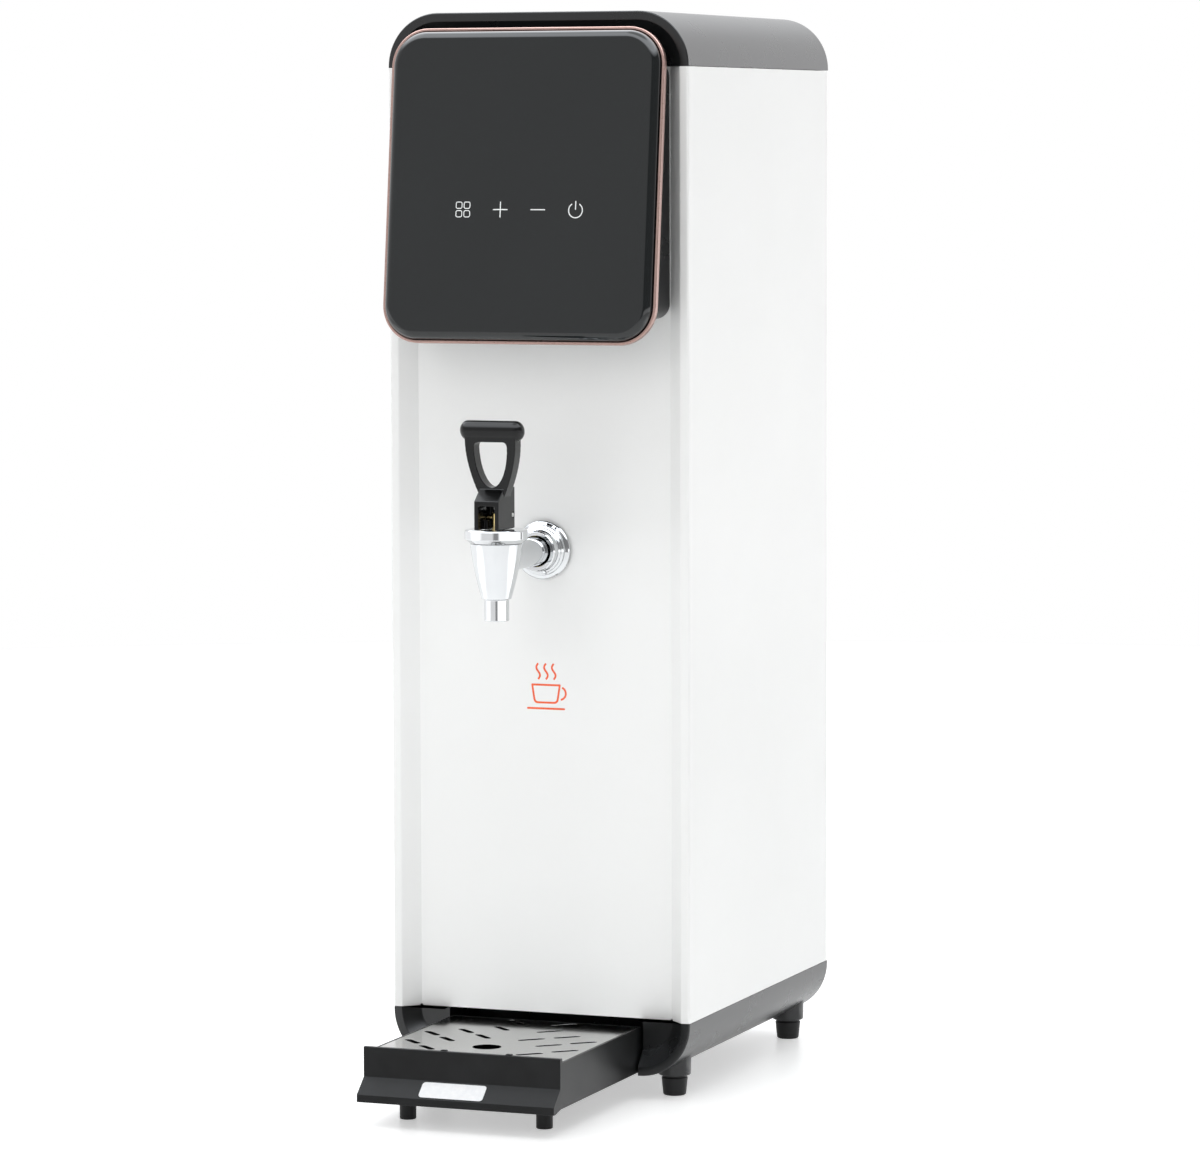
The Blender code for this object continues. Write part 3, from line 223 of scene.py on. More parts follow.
SILICONE = surface("silicone", ((0.68, 0.67, 0.62), (0.78, 0.77, 0.72)), 80.0, (0.45, 0.60),
                   grain=(500.0, 0.15, 0.0002), Subsurface_Weight=0.2, Subsurface_Scale=0.002)
FOAM = surface("foam", ((0.10, 0.10, 0.11), (0.24, 0.24, 0.25)), 500.0, (0.85, 0.98),
               grain=(420.0, 0.9, 0.0015), cells=True)
BOARD = banded(surface("circuit_board", ((0.012, 0.10, 0.035), (0.030, 0.19, 0.075)), 260.0, (0.30, 0.42),
                       grain=(300.0, 0.3, 0.0002), cells=True), "X", 180.0, 0.25, 0.0001)
NYLON = surface("white_nylon", ((0.72, 0.72, 0.69), (0.80, 0.80, 0.78)), 70.0, (0.38, 0.50),
                grain=(1100.0, 0.15, 0.00015))
COPPER = banded(surface("copper_winding", ((0.50, 0.20, 0.09), (0.70, 0.32, 0.16)), 300.0, (0.25, 0.38),
                        1.0, grain=(900.0, 0.1, 0.0001)), "Z", 500.0, 0.8, 0.0004)
LABEL = surface("label_film", ((0.80, 0.81, 0.83), (0.88, 0.885, 0.89)), 300.0, (0.28, 0.40),
                grain=(1600.0, 0.12, 0.0001), Coat_Weight=0.3, Coat_Roughness=0.2)
# Ink of the printed icons, with a faint painted glow: its emission makes them shine, though they are no lamp.
ICON_INK_PAINTED_GLOW = surface("icon_ink_painted_glow", ((0.80, 0.82, 0.82), (0.90, 0.92, 0.92)), 900.0, (0.35, 0.5),
               grain=(2500.0, 0.1, 0.00005), Emission_Color=(0.86, 0.92, 0.92, 1.0), Emission_Strength=0.05)
MARK = surface("orange_ink", ((0.80, 0.105, 0.028), (0.90, 0.150, 0.045)), 500.0, (0.30, 0.42),
               grain=(1800.0, 0.1, 0.00005))
SLOT_MATERIAL = {
    "white_powder_coat": PAINT, "black_moulding": SATIN, "black_rubber": RUBBER, "black_glass": GLASS,
    "rose_gold": ROSE_GOLD, "chrome": CHROME, "brushed_steel": STEEL, "zinc_plate": ZINC, "brass": BRASS,
    "silicone": SILICONE, "grey_foam": FOAM, "circuit_board": BOARD, "white_plastic": NYLON,
    "copper_winding": COPPER,
}
NODE_SLOT = {part["node"]: part["material_slot"] for part in frame["record"]["subparts"]}
NODE_BODY = {name: body for body, names in frame["record"]["behaviour"]["bodies"].items() for name in names}


# ---- Outlines ----------------------------------------------------------------------------------
def arc(centre, radius, start, end, steps):
    """Points along an arc, with its angles in degrees and both ends included."""
    angles = [math.radians(start + (end - start) * i / steps) for i in range(steps + 1)]
    return [(centre[0] + radius * math.cos(a), centre[1] + radius * math.sin(a)) for a in angles]


def circle(radius, steps=48, centre=(0.0, 0.0), phase=0.0):
    return arc(centre, radius, phase, phase + 360.0, steps)[:-1]


def rectangle(width, height, centre=(0.0, 0.0)):
    x, y = width / 2, height / 2
    return [(centre[0] + a, centre[1] + b) for a, b in ((x, y), (-x, y), (-x, -y), (x, -y))]


def rounded_rectangle(width, height, radius, steps=10, centre=(0.0, 0.0)):
    points = []
    for side_x, side_y, start in ((1, 1, 0.0), (-1, 1, 90.0), (-1, -1, 180.0), (1, -1, 270.0)):
        corner = (centre[0] + side_x * (width / 2 - radius), centre[1] + side_y * (height / 2 - radius))
        points += arc(corner, radius, start, start + 90.0, steps)
    return points


def slot(length, width, angle, centre, steps=8):
    """A round-ended slot, its long axis turned by an angle in degrees."""
    reach = (length - width) / 2
    along = (math.cos(math.radians(angle)), math.sin(math.radians(angle)))
    points = []
    for side, start in ((1, -90.0), (-1, 90.0)):
        end = (centre[0] + side * reach * along[0], centre[1] + side * reach * along[1])
        points += arc(end, width / 2, angle + start, angle + start + 180.0, steps)
    return points


def round_corner(before, corner, after, radius, steps):
    """Points of an arc that rounds one corner of a path, or the corner itself if it is straight."""
    before, corner, after = Vector(before), Vector(corner), Vector(after)
    to_before, to_after = (before - corner), (after - corner)
    angle = to_before.angle(to_after)
    if radius <= 0.0 or angle > math.pi - 0.02:
        return [tuple(corner)]
    limit = 0.49 * min(to_before.length, to_after.length) * math.tan(angle / 2)
    radius = min(radius, limit)
    to_before.normalize()
    to_after.normalize()
    centre = corner + (to_before + to_after).normalized() * (radius / math.sin(angle / 2))
    reach = radius / math.tan(angle / 2)
    first = (corner + to_before * reach - centre).normalized()
    last = (corner + to_after * reach - centre).normalized()
    return [tuple(centre + first.slerp(last, i / steps) * radius) for i in range(steps + 1)]


def eased(path, radius, steps=4, closed=True):
    """A path with its corners rounded: radius is one value, or one for each point."""
    count = len(path)
    radii = radius if isinstance(radius, (list, tuple)) else [radius] * count
    points = []
    for i, (point, size) in enumerate(zip(path, radii)):
        if not closed and i in (0, count - 1):
            points.append(tuple(point))
        else:
            points += round_corner(path[i - 1], point, path[(i + 1) % count], size, steps)
    return points


def arch(inset, foot, crown, steps=18):
    """A band across the casing, square at its foot and rounded at its crown, in X and Z."""
    sign = 1.0 if crown > foot else -1.0
    centre_x, centre_z = HALF_WIDTH - CORNER, crown - sign * CORNER
    right = [(x, centre_z + sign * z) for x, z in arc((centre_x, 0.0), CORNER - inset, 0.0, 90.0, steps)]
    left = [(-x, z) for x, z in reversed(right)]
    half = HALF_WIDTH - inset
    return [(half, foot)] + right + left + [(-half, foot)]


# ---- Meshes ------------------------------------------------------------------------------------
def link(name, bm, matrix):
    """A bmesh as a new object, with outward faces, its place given by a matrix."""
    bmesh.ops.recalc_face_normals(bm, faces=bm.faces)
    if bm.calc_volume(signed=True) < 0.0:
        bmesh.ops.reverse_faces(bm, faces=bm.faces)
    mesh = bpy.data.meshes.new(name)
    bm.transform(matrix)
    bm.to_mesh(mesh)
    bm.free()
    obj = bpy.data.objects.new(name, mesh)
    bpy.context.scene.collection.objects.link(obj)
    return obj


def plate(name, outline, low, high, matrix=FRONT_FRAME, holes=()):
    """A flat outline with holes, raised along Z between two levels of its own frame."""
    bm = bmesh.new()
    edges = []
    for loop in (outline, *holes):
        verts = [bm.verts.new((x, y, low)) for x, y in loop]
        edges += [bm.edges.new((a, b)) for a, b in zip(verts, verts[1:] + verts[:1])]
    if holes:
        bmesh.ops.triangle_fill(bm, edges=edges, use_beauty=True)
    else:
        bm.faces.new(bm.verts[:])
    raised = bmesh.ops.extrude_face_region(bm, geom=bm.faces[:], use_keep_orig=True)
    top = [v for v in raised["geom"] if isinstance(v, bmesh.types.BMVert)]
    bmesh.ops.translate(bm, verts=top, vec=(0.0, 0.0, high - low))
    return link(name, bm, matrix)


def plate_y(name, outline, front, rear, holes=()):
    """A plate whose outline is in X and Z, between two depths."""
    return plate(name, outline, -rear, -front, FRONT_FRAME @ LYING, holes)


def plate_x(name, outline, left, right, holes=()):
    """A plate whose outline is in Y and Z, between two sides."""
    turn = Matrix.Rotation(math.pi / 2, 4, "Z") @ LYING
    return plate(name, outline, left, right, FRONT_FRAME @ turn, holes)


def loft(name, loops, matrix=FRONT_FRAME):
    """A closed skin through loops of equal length, with a flat cap at each end."""
    bm = bmesh.new()
    rings = [[bm.verts.new(point) for point in loop] for loop in loops]
    for low, high in zip(rings, rings[1:]):
        for i in range(len(low)):
            j = (i + 1) % len(low)
            bm.faces.new((low[i], low[j], high[j], high[i]))
    bm.faces.new(rings[0])
    bm.faces.new(rings[-1])
    return link(name, bm, matrix)


def lathe(name, profile, centre, radius=0.0, steps=64, lying=False, ease_steps=4):
    """A closed profile of radii and heights, its corners rounded, spun about its own Z axis.

    Lying, the axis runs front to rear and the heights are depths.
    """
    points = eased([(r, -h if lying else h) for r, h in profile], radius, ease_steps)
    points = [(0.0 if r < 1e-7 else r, h) for r, h in points]
    bm = bmesh.new()
    verts = [bm.verts.new((r, 0.0, z)) for r, z in points]
    edges = [bm.edges.new((a, b)) for a, b in zip(verts, verts[1:] + verts[:1])]
    on_axis = [e for e in edges if all(v.co.x < 1e-7 for v in e.verts)]
    bmesh.ops.delete(bm, geom=on_axis, context="EDGES")
    bmesh.ops.spin(bm, geom=bm.verts[:] + bm.edges[:], axis=(0.0, 0.0, 1.0), cent=(0.0, 0.0, 0.0),
                   angle=2 * math.pi, steps=steps, use_merge=True)
    bmesh.ops.remove_doubles(bm, verts=bm.verts[:], dist=1e-6)
    matrix = FRONT_FRAME @ Matrix.Translation(centre)
    return link(name, bm, matrix @ LYING if lying else matrix)


def rod(name, radius, start, end, steps=32):
    start, end = Vector(start), Vector(end)
    turn = (end - start).to_track_quat("Z", "Y").to_matrix().to_4x4()
    matrix = FRONT_FRAME @ Matrix.Translation(start) @ turn
    return plate(name, circle(radius, steps, phase=3.0), 0.0, (end - start).length, matrix)


def settle(obj):
    """Applies an object's modifiers to its mesh."""
    bpy.context.view_layer.update()
    evaluated = obj.evaluated_get(bpy.context.evaluated_depsgraph_get())
    mesh = bpy.data.meshes.new_from_object(evaluated)
    obj.modifiers.clear()
    obj.data = mesh
    return obj


def combine(obj, operation, tools, solver="EXACT"):
    """Joins tools to an object, or cuts them away, and removes them."""
    for tool in tools:
        modifier = obj.modifiers.new("combine", "BOOLEAN")
        modifier.operation = operation
        modifier.solver = solver
        modifier.object = tool
        settle(obj)
        bpy.data.objects.remove(tool)
    return obj


def cut(obj, *tools):
    return combine(obj, "DIFFERENCE", tools)


def join(obj, *tools):
    return combine(obj, "UNION", tools)


def soften(obj, width=0.0004, segments=2, angle=35.0):
    """Small rounded edges, with shading that keeps the flat faces flat."""
    obj.data.shade_smooth()
    if width:
        bevel = obj.modifiers.new("edges", "BEVEL")
        bevel.width = width
        bevel.segments = segments
        bevel.limit_method = "ANGLE"
        bevel.angle_limit = math.radians(angle)
        bevel.use_clamp_overlap = True
    else:
        obj.data.set_sharp_from_angle(angle=math.radians(angle))
    weighted = obj.modifiers.new("shading", "WEIGHTED_NORMAL")
    weighted.keep_sharp = True
    return obj


def piece(obj, material, body, slot_name, *nodes):
    """Gives a finished object its material and its body, and hides the CAD nodes it stands for; slot_name is
    not used.
    """
    obj.data.materials.clear()
    obj.data.materials.append(material)
    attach(obj, body)
    if nodes:
        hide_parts(*nodes)
    return obj


def stand_in(obj, material, cad_node, *more):
    """A detailed piece in place of a CAD node, on that node's body."""
    return piece(obj, material, NODE_BODY[cad_node], NODE_SLOT[cad_node], cad_node, *more)


# ---- Casing, cover, base and feet --------------------------------------------------------------
def folded(path, thickness, bend, steps=5):
    """The closed outline of a folded sheet, whose outer face is the path and lies on its left."""
    outer = [Vector(point) for point in path]
    headings = [(b - a).normalized() for a, b in zip(outer, outer[1:])]
    rights = [Vector((h.y, -h.x)) for h in headings]
    inner = [outer[0] + rights[0] * thickness]
    for i in range(1, len(outer) - 1):
        bisector = (rights[i - 1] + rights[i]).normalized()
        inner.append(outer[i] + bisector * (thickness / bisector.dot(rights[i])))
    inner.append(outer[-1] + rights[-1] * thickness)
    turns = [0.0] + [a.cross(b) for a, b in zip(headings, headings[1:])] + [0.0]
    wide = [bend + thickness if turn < 0.0 else bend for turn in turns]
    narrow = [bend if turn < 0.0 else bend + thickness for turn in turns]
    far = eased(inner, narrow, steps, closed=False)
    return eased(outer, wide, steps, closed=False) + far[::-1]


def make_casing():
    """The folded sheet, with relief notches where its bends meet the base."""
    flange_y = CASE_HIGH.y
    right = [(HALF_WIDTH - 0.012, flange_y), (HALF_WIDTH, flange_y), (HALF_WIDTH, 0.0),
             (HALF_WIDTH - RIM, 0.0), (FRONT_X, RECESS)]
    path = right + [(-x, y) for x, y in reversed(right)]
    casing = plate("casing_sheet", folded(path, SHEET, 0.0005), CASE_LOW.z, CASE_HIGH.z)
    notches = [rod(f"notch_{x}", 0.0011, (x, RECESS - 0.004, CASE_LOW.z), (x, RECESS + 0.004, CASE_LOW.z))
               for x in (-FRONT_X, FRONT_X)]
    cut(casing, rod("tap_hole", 0.0110, (0.0, 0.0, TAP_Z), (0.0, 0.020, TAP_Z)), *notches)
    stand_in(soften(casing, 0.00018, 2, 40.0), PAINT, "outer_casing")


def make_rear_plate():
    low, high = span("rear_panel")
    middle = (low.z + high.z) / 2
    outline = rounded_rectangle(high.x - low.x, high.z - low.z, 0.002, 5, (0.0, middle))
    holes = [circle(radius, 32, (x, z)) for radius, x, z in (
        (0.0138, INLET_X, PORT_Z), (0.0083, DRAIN_X, PORT_Z), (0.0083, OVERFLOW_X, PORT_Z),
        (0.0083, GLAND_X, GLAND_Z))]
    vent_z, vent_pitch = 0.560, 0.014
    holes += [slot(0.050, 0.005, 0.0, (x, vent_z + vent_pitch * row))
              for x in (-0.040, 0.040) for row in range(6)]
    rear = plate_y("rear_cover_plate", outline, low.y, high.y, holes)
    stand_in(soften(rear, 0.00025, 2, 40.0), PAINT, "rear_panel")


def moulded_end(name, foot, crown):
    """A hollow moulded end of the casing with rounded edges and a recessed front."""
    edge = 0.0009
    beyond = 0.005 if foot > crown else -0.005
    sections = arc((edge, REAR_Y - edge), edge, 90.0, 180.0, 3) + arc((edge, edge), edge, 180.0, 270.0, 3)
    sections += [(RIM - 0.0005, 0.0), (RIM + 0.0002, 0.0003), (RIM + RECESS - 0.0006, RECESS - 0.0007),
                 (RIM + RECESS + 0.0003, RECESS)]
    loops = [[(x, y, z) for x, z in arch(inset, foot, crown)] for inset, y in sections]
    body = loft(name, loops)
    cavity = plate_y("cavity", arch(WALL, foot + beyond, crown), RECESS + WALL, REAR_Y - WALL)
    return body, cavity


def make_cover():
    cover, cavity = moulded_end("top_cover_shell", COVER_LOW.z, COVER_HIGH.z)
    combine(cover, "DIFFERENCE", [cavity], "MANIFOLD")
    stand_in(soften(cover, 0.0003, 2, 50.0), SATIN, "top_cover")


def make_base():
    """The base: foot collars and the open bay that takes the tray's rear end."""
    base, cavity = moulded_end("base_tub", BASE_TOP, BASE_BOTTOM)
    depth, shelf_y, shelf_top = 0.062, 0.014, 0.0182
    outside = rectangle(2 * (BAY_HALF + WALL), 2 * (depth + WALL))
    below, above = -0.01, 0.08
    cut(cavity, plate("bay_walls", outside, below, above))
    mouth = plate("bay_mouth", rectangle(2 * BAY_HALF, 2 * shelf_y), below, above)
    room = plate("bay_room", rectangle(2 * BAY_HALF, 2 * depth), shelf_top, above)
    combine(base, "DIFFERENCE", [cavity, mouth, room], "MANIFOLD")
    collar_top = 0.034
    profile = [(0.0, COLLAR_BOTTOM), (0.0104, COLLAR_BOTTOM), (0.01085, COLLAR_BOTTOM + 0.0008),
               (0.0112, collar_top), (0.0, collar_top)]
    for name in FEET:
        collar = lathe("collar", profile, middle_of(name), [0.0, 0.0004, 0.0003, 0.0, 0.0], 48)
        combine(base, "UNION", [collar], "MANIFOLD")
    stand_in(soften(base, 0.0003, 2, 50.0), SATIN, "base_shell")


def make_feet():
    """Tapered rubber feet with a shadow groove under the collar."""
    top = COLLAR_BOTTOM - SEAM
    profile = [(0.0, 0.0), (0.0069, 0.0), (0.0076, 0.0007), (0.0087, top - 0.0016), (0.0080, top - 0.0011),
               (0.0080, top), (0.0, top)]
    radii = [0.0, 0.0004, 0.0006, 0.0002, 0.0002, 0.0, 0.0]
    for name in FEET:
        foot = lathe(f"rubber_{name}", profile, middle_of(name), radii, 48)
        stand_in(soften(foot, 0.0, angle=40.0), RUBBER, name)


def cross_head(name, radius, height):
    """A pan-head screw's head, standing on z = 0, with a cross recess."""
    profile = [(0.0, 0.0), (radius, 0.0), (radius, height * 0.45), (radius * 0.72, height * 0.9),
               (radius * 0.3, height), (0.0, height)]
    head = lathe(name, profile, (0.0, 0.0, 0.0), [0.0, 0.0, radius * 0.2, radius * 0.3, 0.0, 0.0], 32)
    for turn in (0.0, 90.0):
        arm = slot(radius * 1.15, radius * 0.26, turn, (0.0, 0.0), 4)
        cut(head, plate("recess", arm, height * 0.42, height * 1.5))
    head.data.transform(FRONT_FRAME.inverted())
    return soften(head, 0.00006, 1, 40.0)


def screw_heads(name, radius, height, places):
    """Numbered copies of one screw's head, each placed by a matrix in the casing's frame."""
    first = cross_head(f"{name}_1", radius, height)
    for i, place in enumerate(places):
        head = first if i == 0 else first.copy()
        head.name = f"{name}_{i + 1}"
        if i:
            bpy.context.scene.collection.objects.link(head)
        head.matrix_world = FRONT_FRAME @ place
        piece(head, ZINC, "dispenser", "zinc_plate")


def make_screws():
    """The rear panel's screws and the ones under the base, each turned to an angle of its own."""
    low, high = span("rear_panel")
    clear = 0.00005
    levels = (low.z + 0.012, 0.262, 0.468, high.z - 0.012)
    at_rear = [(x, REAR_Y + clear, z) for x in (low.x + 0.007, high.x - 0.007) for z in levels]
    below = [(x, y, BASE_BOTTOM - clear) for x in (-0.060, 0.060) for y in (0.085, 0.262)]
    for name, radius, height, points, facing, step in (
            ("rear_screw", 0.0033, 0.0020, at_rear, -90.0, 37.0),
            ("base_screw", 0.0030, 0.0016, below, 180.0, 53.0)):
        turned = Matrix.Rotation(math.radians(facing), 4, "X")
        screw_heads(name, radius, height, [
            Matrix.Translation(point) @ turned @ Matrix.Rotation(math.radians(step * i), 4, "Z")
            for i, point in enumerate(points)])


# ---- Touch panel -------------------------------------------------------------------------------
def panel_y(z, depth):
    """Where a plane at a depth in the tilted panel's frame stands at a height, in Y."""
    return PANEL_CENTRE.y + (z - PANEL_CENTRE.z) * math.tan(PANEL_TILT) - depth / math.cos(PANEL_TILT)


def panel_outline(inset, steps=14):
    width, height = PANEL_SIZE
    return rounded_rectangle(width - 2 * inset, height - 2 * inset, PANEL_RADIUS - inset, steps)


def panel_loft(name, sections, steps=14):
    """A skin through the panel's outline at pairs of an inset and a depth."""
    loops = [[(x, y, z) for x, y in panel_outline(inset, steps)] for inset, z in sections]
    return loft(name, loops, PANEL_FRAME)


def make_housing():
    """The wedge between the casing and the tilted panel."""
    low, high = span("panel_housing")
    front, rear = -0.0035, high.y
    middle = (0.0, (low.z + high.z) / 2)
    outside = rounded_rectangle(high.x - low.x, high.z - low.z, 0.010, 10, middle)
    inside = rounded_rectangle(high.x - low.x - 2 * WALL, high.z - low.z - 2 * WALL, 0.0075, 10, middle)
    loops = [
        [(x, rear - WALL, z) for x, z in inside], [(x, panel_y(z, front), z) for x, z in inside],
        [(x, panel_y(z, front), z) for x, z in outside], [(x, rear, z) for x, z in outside],
    ]
    stand_in(soften(loft("panel_wedge", loops), 0.0003, 2, 50.0), SATIN, "panel_housing")


def make_panel():
    carrier = plate("panel_backing", panel_outline(0.0015), -0.0032, -SEAM, PANEL_FRAME)
    stand_in(soften(carrier, 0.0004, 3, 50.0), SATIN, "panel_carrier")
    edge = 0.0006
    sections = [(0.0002, 0.0), (0.0, 0.0003)] + arc((edge, TRIM_DEPTH - edge), edge, 180.0, 90.0, 3)
    sections += [(TRIM_LIP - 0.0002, TRIM_DEPTH), (TRIM_LIP, TRIM_DEPTH - 0.0002)]
    trim = panel_loft("rose_gold_trim", sections)
    hollow = plate("hollow", panel_outline(TRIM_LIP), -0.01, 0.01, PANEL_FRAME)
    stand_in(soften(cut(trim, hollow), 0.0, angle=40.0), ROSE_GOLD, "panel_trim")
    sections = [(GLASS_INSET + 0.0002, 0.0), (GLASS_INSET, 0.0002)]
    for x, y in arc((0.0, 0.0), 1.0, 0.0, 90.0, 16):
        sections.append((GLASS_INSET + BEVEL_SIZE[0] * (1.0 - x), TRIM_DEPTH + BEVEL_SIZE[1] * y))
    glass = panel_loft("cover_glass", sections, 20)
    stand_in(soften(glass, 0.0, angle=60.0), GLASS, "panel_glass")


def ring_sector(radius, width, gap_centre, gap_half, centre, steps=28):
    """A stroke along a circle with a gap, its angles in degrees."""
    start, end = gap_centre + gap_half, gap_centre + 360.0 - gap_half
    outer = arc(centre, radius + width / 2, start, end, steps)
    return outer + arc(centre, radius - width / 2, end, start, steps)


def make_icons():
    """Four touch symbols: menu, more, less and power, printed on the glass in an ink with a faint painted
    glow.
    """
    size, stroke, pitch, level = 0.0102, 0.00068, 0.0261, -0.0162
    front = TRIM_DEPTH + BEVEL_SIZE[1] + 0.00002
    columns = [0.0008 + pitch * (i - 1.5) for i in range(4)]
    cell = (size - 0.0009) / 2
    shift = (cell + 0.0009) / 2
    parts = {"menu": [], "plus": [], "minus": [], "power": []}
    for side_x in (-1, 1):
        for side_y in (-1, 1):
            middle = (columns[0] + side_x * shift, level + side_y * shift)
            outer = rounded_rectangle(cell, cell, 0.0014, 6, middle)
            inner = rounded_rectangle(cell - 2 * stroke * 0.8, cell - 2 * stroke * 0.8, 0.0008, 6, middle)
            parts["menu"].append((outer, [inner]))
    half, arm = size / 2, stroke / 2
    cross = [(half, arm), (arm, arm), (arm, half), (-arm, half), (-arm, arm), (-half, arm),
             (-half, -arm), (-arm, -arm), (-arm, -half), (arm, -half), (arm, -arm), (half, -arm)]
    parts["plus"].append(([(columns[1] + x, level + y) for x, y in cross], []))
    parts["minus"].append((slot(size, stroke, 0.0, (columns[2], level)), []))
    radius = size / 2 - stroke / 2
    centre = (columns[3], level - 0.0004)
    parts["power"].append((ring_sector(radius, stroke, 90.0, 32.0, centre), []))
    parts["power"].append((slot(size * 0.56, stroke, 90.0, (columns[3], level + size * 0.28)), []))
    for name, shapes in parts.items():
        made = [plate(f"icon_{name}_{i}", outline, front, front + 0.00004, PANEL_FRAME, holes)
                for i, (outline, holes) in enumerate(shapes)]
        for i, icon in enumerate(made):
            # The icons take the ink's faint painted glow.
            piece(soften(icon, 0.0), ICON_INK_PAINTED_GLOW, "dispenser", "white_plastic")


def ribbon(path, width):
    """The closed outline of a stroke of even width along an open path."""
    points = [Vector(p) for p in path]
    sides = ([], [])
    for i, point in enumerate(points):
        ahead = points[min(i + 1, len(points) - 1)] - points[max(i - 1, 0)]
        normal = Vector((-ahead.y, ahead.x)).normalized() * (width / 2)
        sides[0].append(tuple(point + normal))
        sides[1].append(tuple(point - normal))
    return sides[0] + sides[1][::-1]


def make_mark():
    """A plain pictogram for hot water, a cup under three wisps of steam, printed on the front."""
    centre_x, level, stroke = 0.001, 0.2655, 0.0013
    cup = [(-0.0105, 0.0055), (-0.0085, -0.0075), (0.0085, -0.0075), (0.0105, 0.0055)]
    inner = [(-0.0090, 0.0042), (-0.0073, -0.0062), (0.0073, -0.0062), (0.0090, 0.0042)]
    handle = arc((0.0098, -0.0005), 0.0042, 68.0, -82.0, 14)
    rise = [i / 20 for i in range(21)]
    wisps = [[(x + 0.0013 * math.sin(t * 2 * math.pi), 0.0085 + 0.0105 * t) for t in rise]
             for x in (-0.0055, 0.0, 0.0055)]
    saucer = slot(0.0270, stroke, 0.0, (0.0, -0.0108))
    cup, inner = eased(cup, [0.0006, 0.0030, 0.0030, 0.0006]), eased(inner, [0.0004, 0.002, 0.002, 0.0004])
    shapes = [(cup, [inner]), (ribbon(handle, stroke), []), (saucer, [])]
    shapes += [(ribbon(wisp, stroke), []) for wisp in wisps]
    front = RECESS - 0.00006
    for i, (outline, holes) in enumerate(shapes):
        placed = [(centre_x + x, level + z) for x, z in outline]
        gaps = [[(centre_x + x, level + z) for x, z in hole] for hole in holes]
        mark = plate_y(f"hot_water_mark_{i + 1}", placed, front, front + 0.00004, gaps)
        piece(soften(mark, 0.0), MARK, "dispenser", "white_plastic")


# ---- Tap ---------------------------------------------------------------------------------------
def make_tap_mount():
    """The stepped flange against the casing, with a dark gap round the stem."""
    profile = [
        (0.0104, 0.0086), (0.0193, 0.0086), (0.0193, 0.0068), (0.0186, 0.0060), (0.0166, 0.0052),
        (0.0163, 0.0038), (0.0150, 0.0030), (0.0150, 0.0010), (0.0139, 0.0003), (0.0133, -0.0042),
        (0.0125, -0.0050), (0.0104, -0.0050),
    ]
    radii = [0.0, 0.0002, 0.0006, 0.0005, 0.0003, 0.0003, 0.0004, 0.0004, 0.0004, 0.0005, 0.0003, 0.0001]
    flange = lathe("tap_rosette", profile, (0.0, 0.0, TAP_Z), radii, 96, lying=True)
    stand_in(soften(flange, 0.0, angle=50.0), CHROME, "tap_flange")
    washer = [(0.0115, 0.0087), (0.0183, 0.0087), (0.0183, 0.0099), (0.0115, 0.0099)]
    ring = lathe("flange_washer", washer, (0.0, 0.0, TAP_Z), 0.0003, 64, lying=True)
    stand_in(soften(ring, 0.0, angle=50.0), RUBBER, "tap_washer")


def make_tap_body():
    """The chrome casting: a spout under a cone, and the level stem."""
    spout, neck, seat, top = 0.320, 0.3344, 0.352, 0.370
    cone = []
    for share in (i / 16 for i in range(17)):
        bulge = share + 0.11 * math.sin(math.pi * share)
        cone.append((0.0096 + 0.0074 * bulge, neck + (top - neck) * share))
    profile = [
        (0.0055, spout + 0.0004), (0.0060, spout), (0.0078, spout), (0.0081, spout + 0.0005),
        (0.0081, neck - 0.0008), *cone, (0.0120, top), (0.0120, seat), (0.0055, seat),
    ]
    radii = [0.0002, 0.0002, 0.0004, 0.0004, 0.0004, 0.0006] + [0.0] * 15 + [0.0003, 0.0003, 0.0, 0.0]
    body = lathe("tap_casting", profile, (0.0, TAP_Y, 0.0), radii, 96)
    start, end = (0.0, TAP_Y, TAP_Z), (0.0, 0.032, TAP_Z)
    join(body, rod("level_stem", 0.0095, (0.0, TAP_Y + 0.0125, TAP_Z), end, 64))
    cut(body, rod("level_bore", 0.0060, start, (0.0, 0.040, TAP_Z), 32))
    stand_in(soften(body, 0.0002, 2, 50.0), CHROME, "tap_body")


def make_bonnet():
    """The round collar with its chamfered foot, and the lug for the handle's pin."""
    low, high = BONNET_Z
    profile = [(0.0024, low), (0.0172, low), (0.0204, low + 0.0026), (0.0204, high - 0.0008),
               (0.0196, high), (0.0024, high)]
    centre = (0.0, TAP_Y, 0.0)
    bonnet = lathe("tap_collar", profile, centre, [0.0, 0.0005, 0.0009, 0.0006, 0.0006, 0.0], 96)
    y, z = PIN
    side = [(y - 0.0035, high - 0.001), (y + 0.0026, high - 0.001), (y + 0.0026, z)]
    side += arc((y - 0.0004, z), 0.0031, 5.0, 175.0, 12)
    join(bonnet, plate_x("pin_lug", side, -0.0022, 0.0022))
    cut(bonnet, rod("lug_bore", 0.0017, (-0.010, y, z), (0.010, y, z), 24))
    stand_in(soften(bonnet, 0.00015, 2, 50.0), CHROME, "tap_bonnet")


def make_valve_stem():
    """The brass stem: a foot over the seal, and a cross head that the handle's fork lifts."""
    foot, top = 0.3563, 0.3900
    profile = [(0.0, foot), (0.0050, foot), (0.0050, foot + 0.0025), (0.0020, foot + 0.0025),
               (0.0020, top - 0.0007), (0.0013, top), (0.0, top)]
    radii = [0.0, 0.0003, 0.0003, 0.0003, 0.0002, 0.0002, 0.0]
    stem = lathe("brass_stem", profile, (0.0, STEM_Y, 0.0), radii, 32)
    join(stem, rod("cross_head", CROSS_RADIUS, (-0.0050, STEM_Y, CROSS_Z), (0.0050, STEM_Y, CROSS_Z), 24))
    stand_in(soften(stem, 0.0001, 1, 45.0), BRASS, "valve_stem")


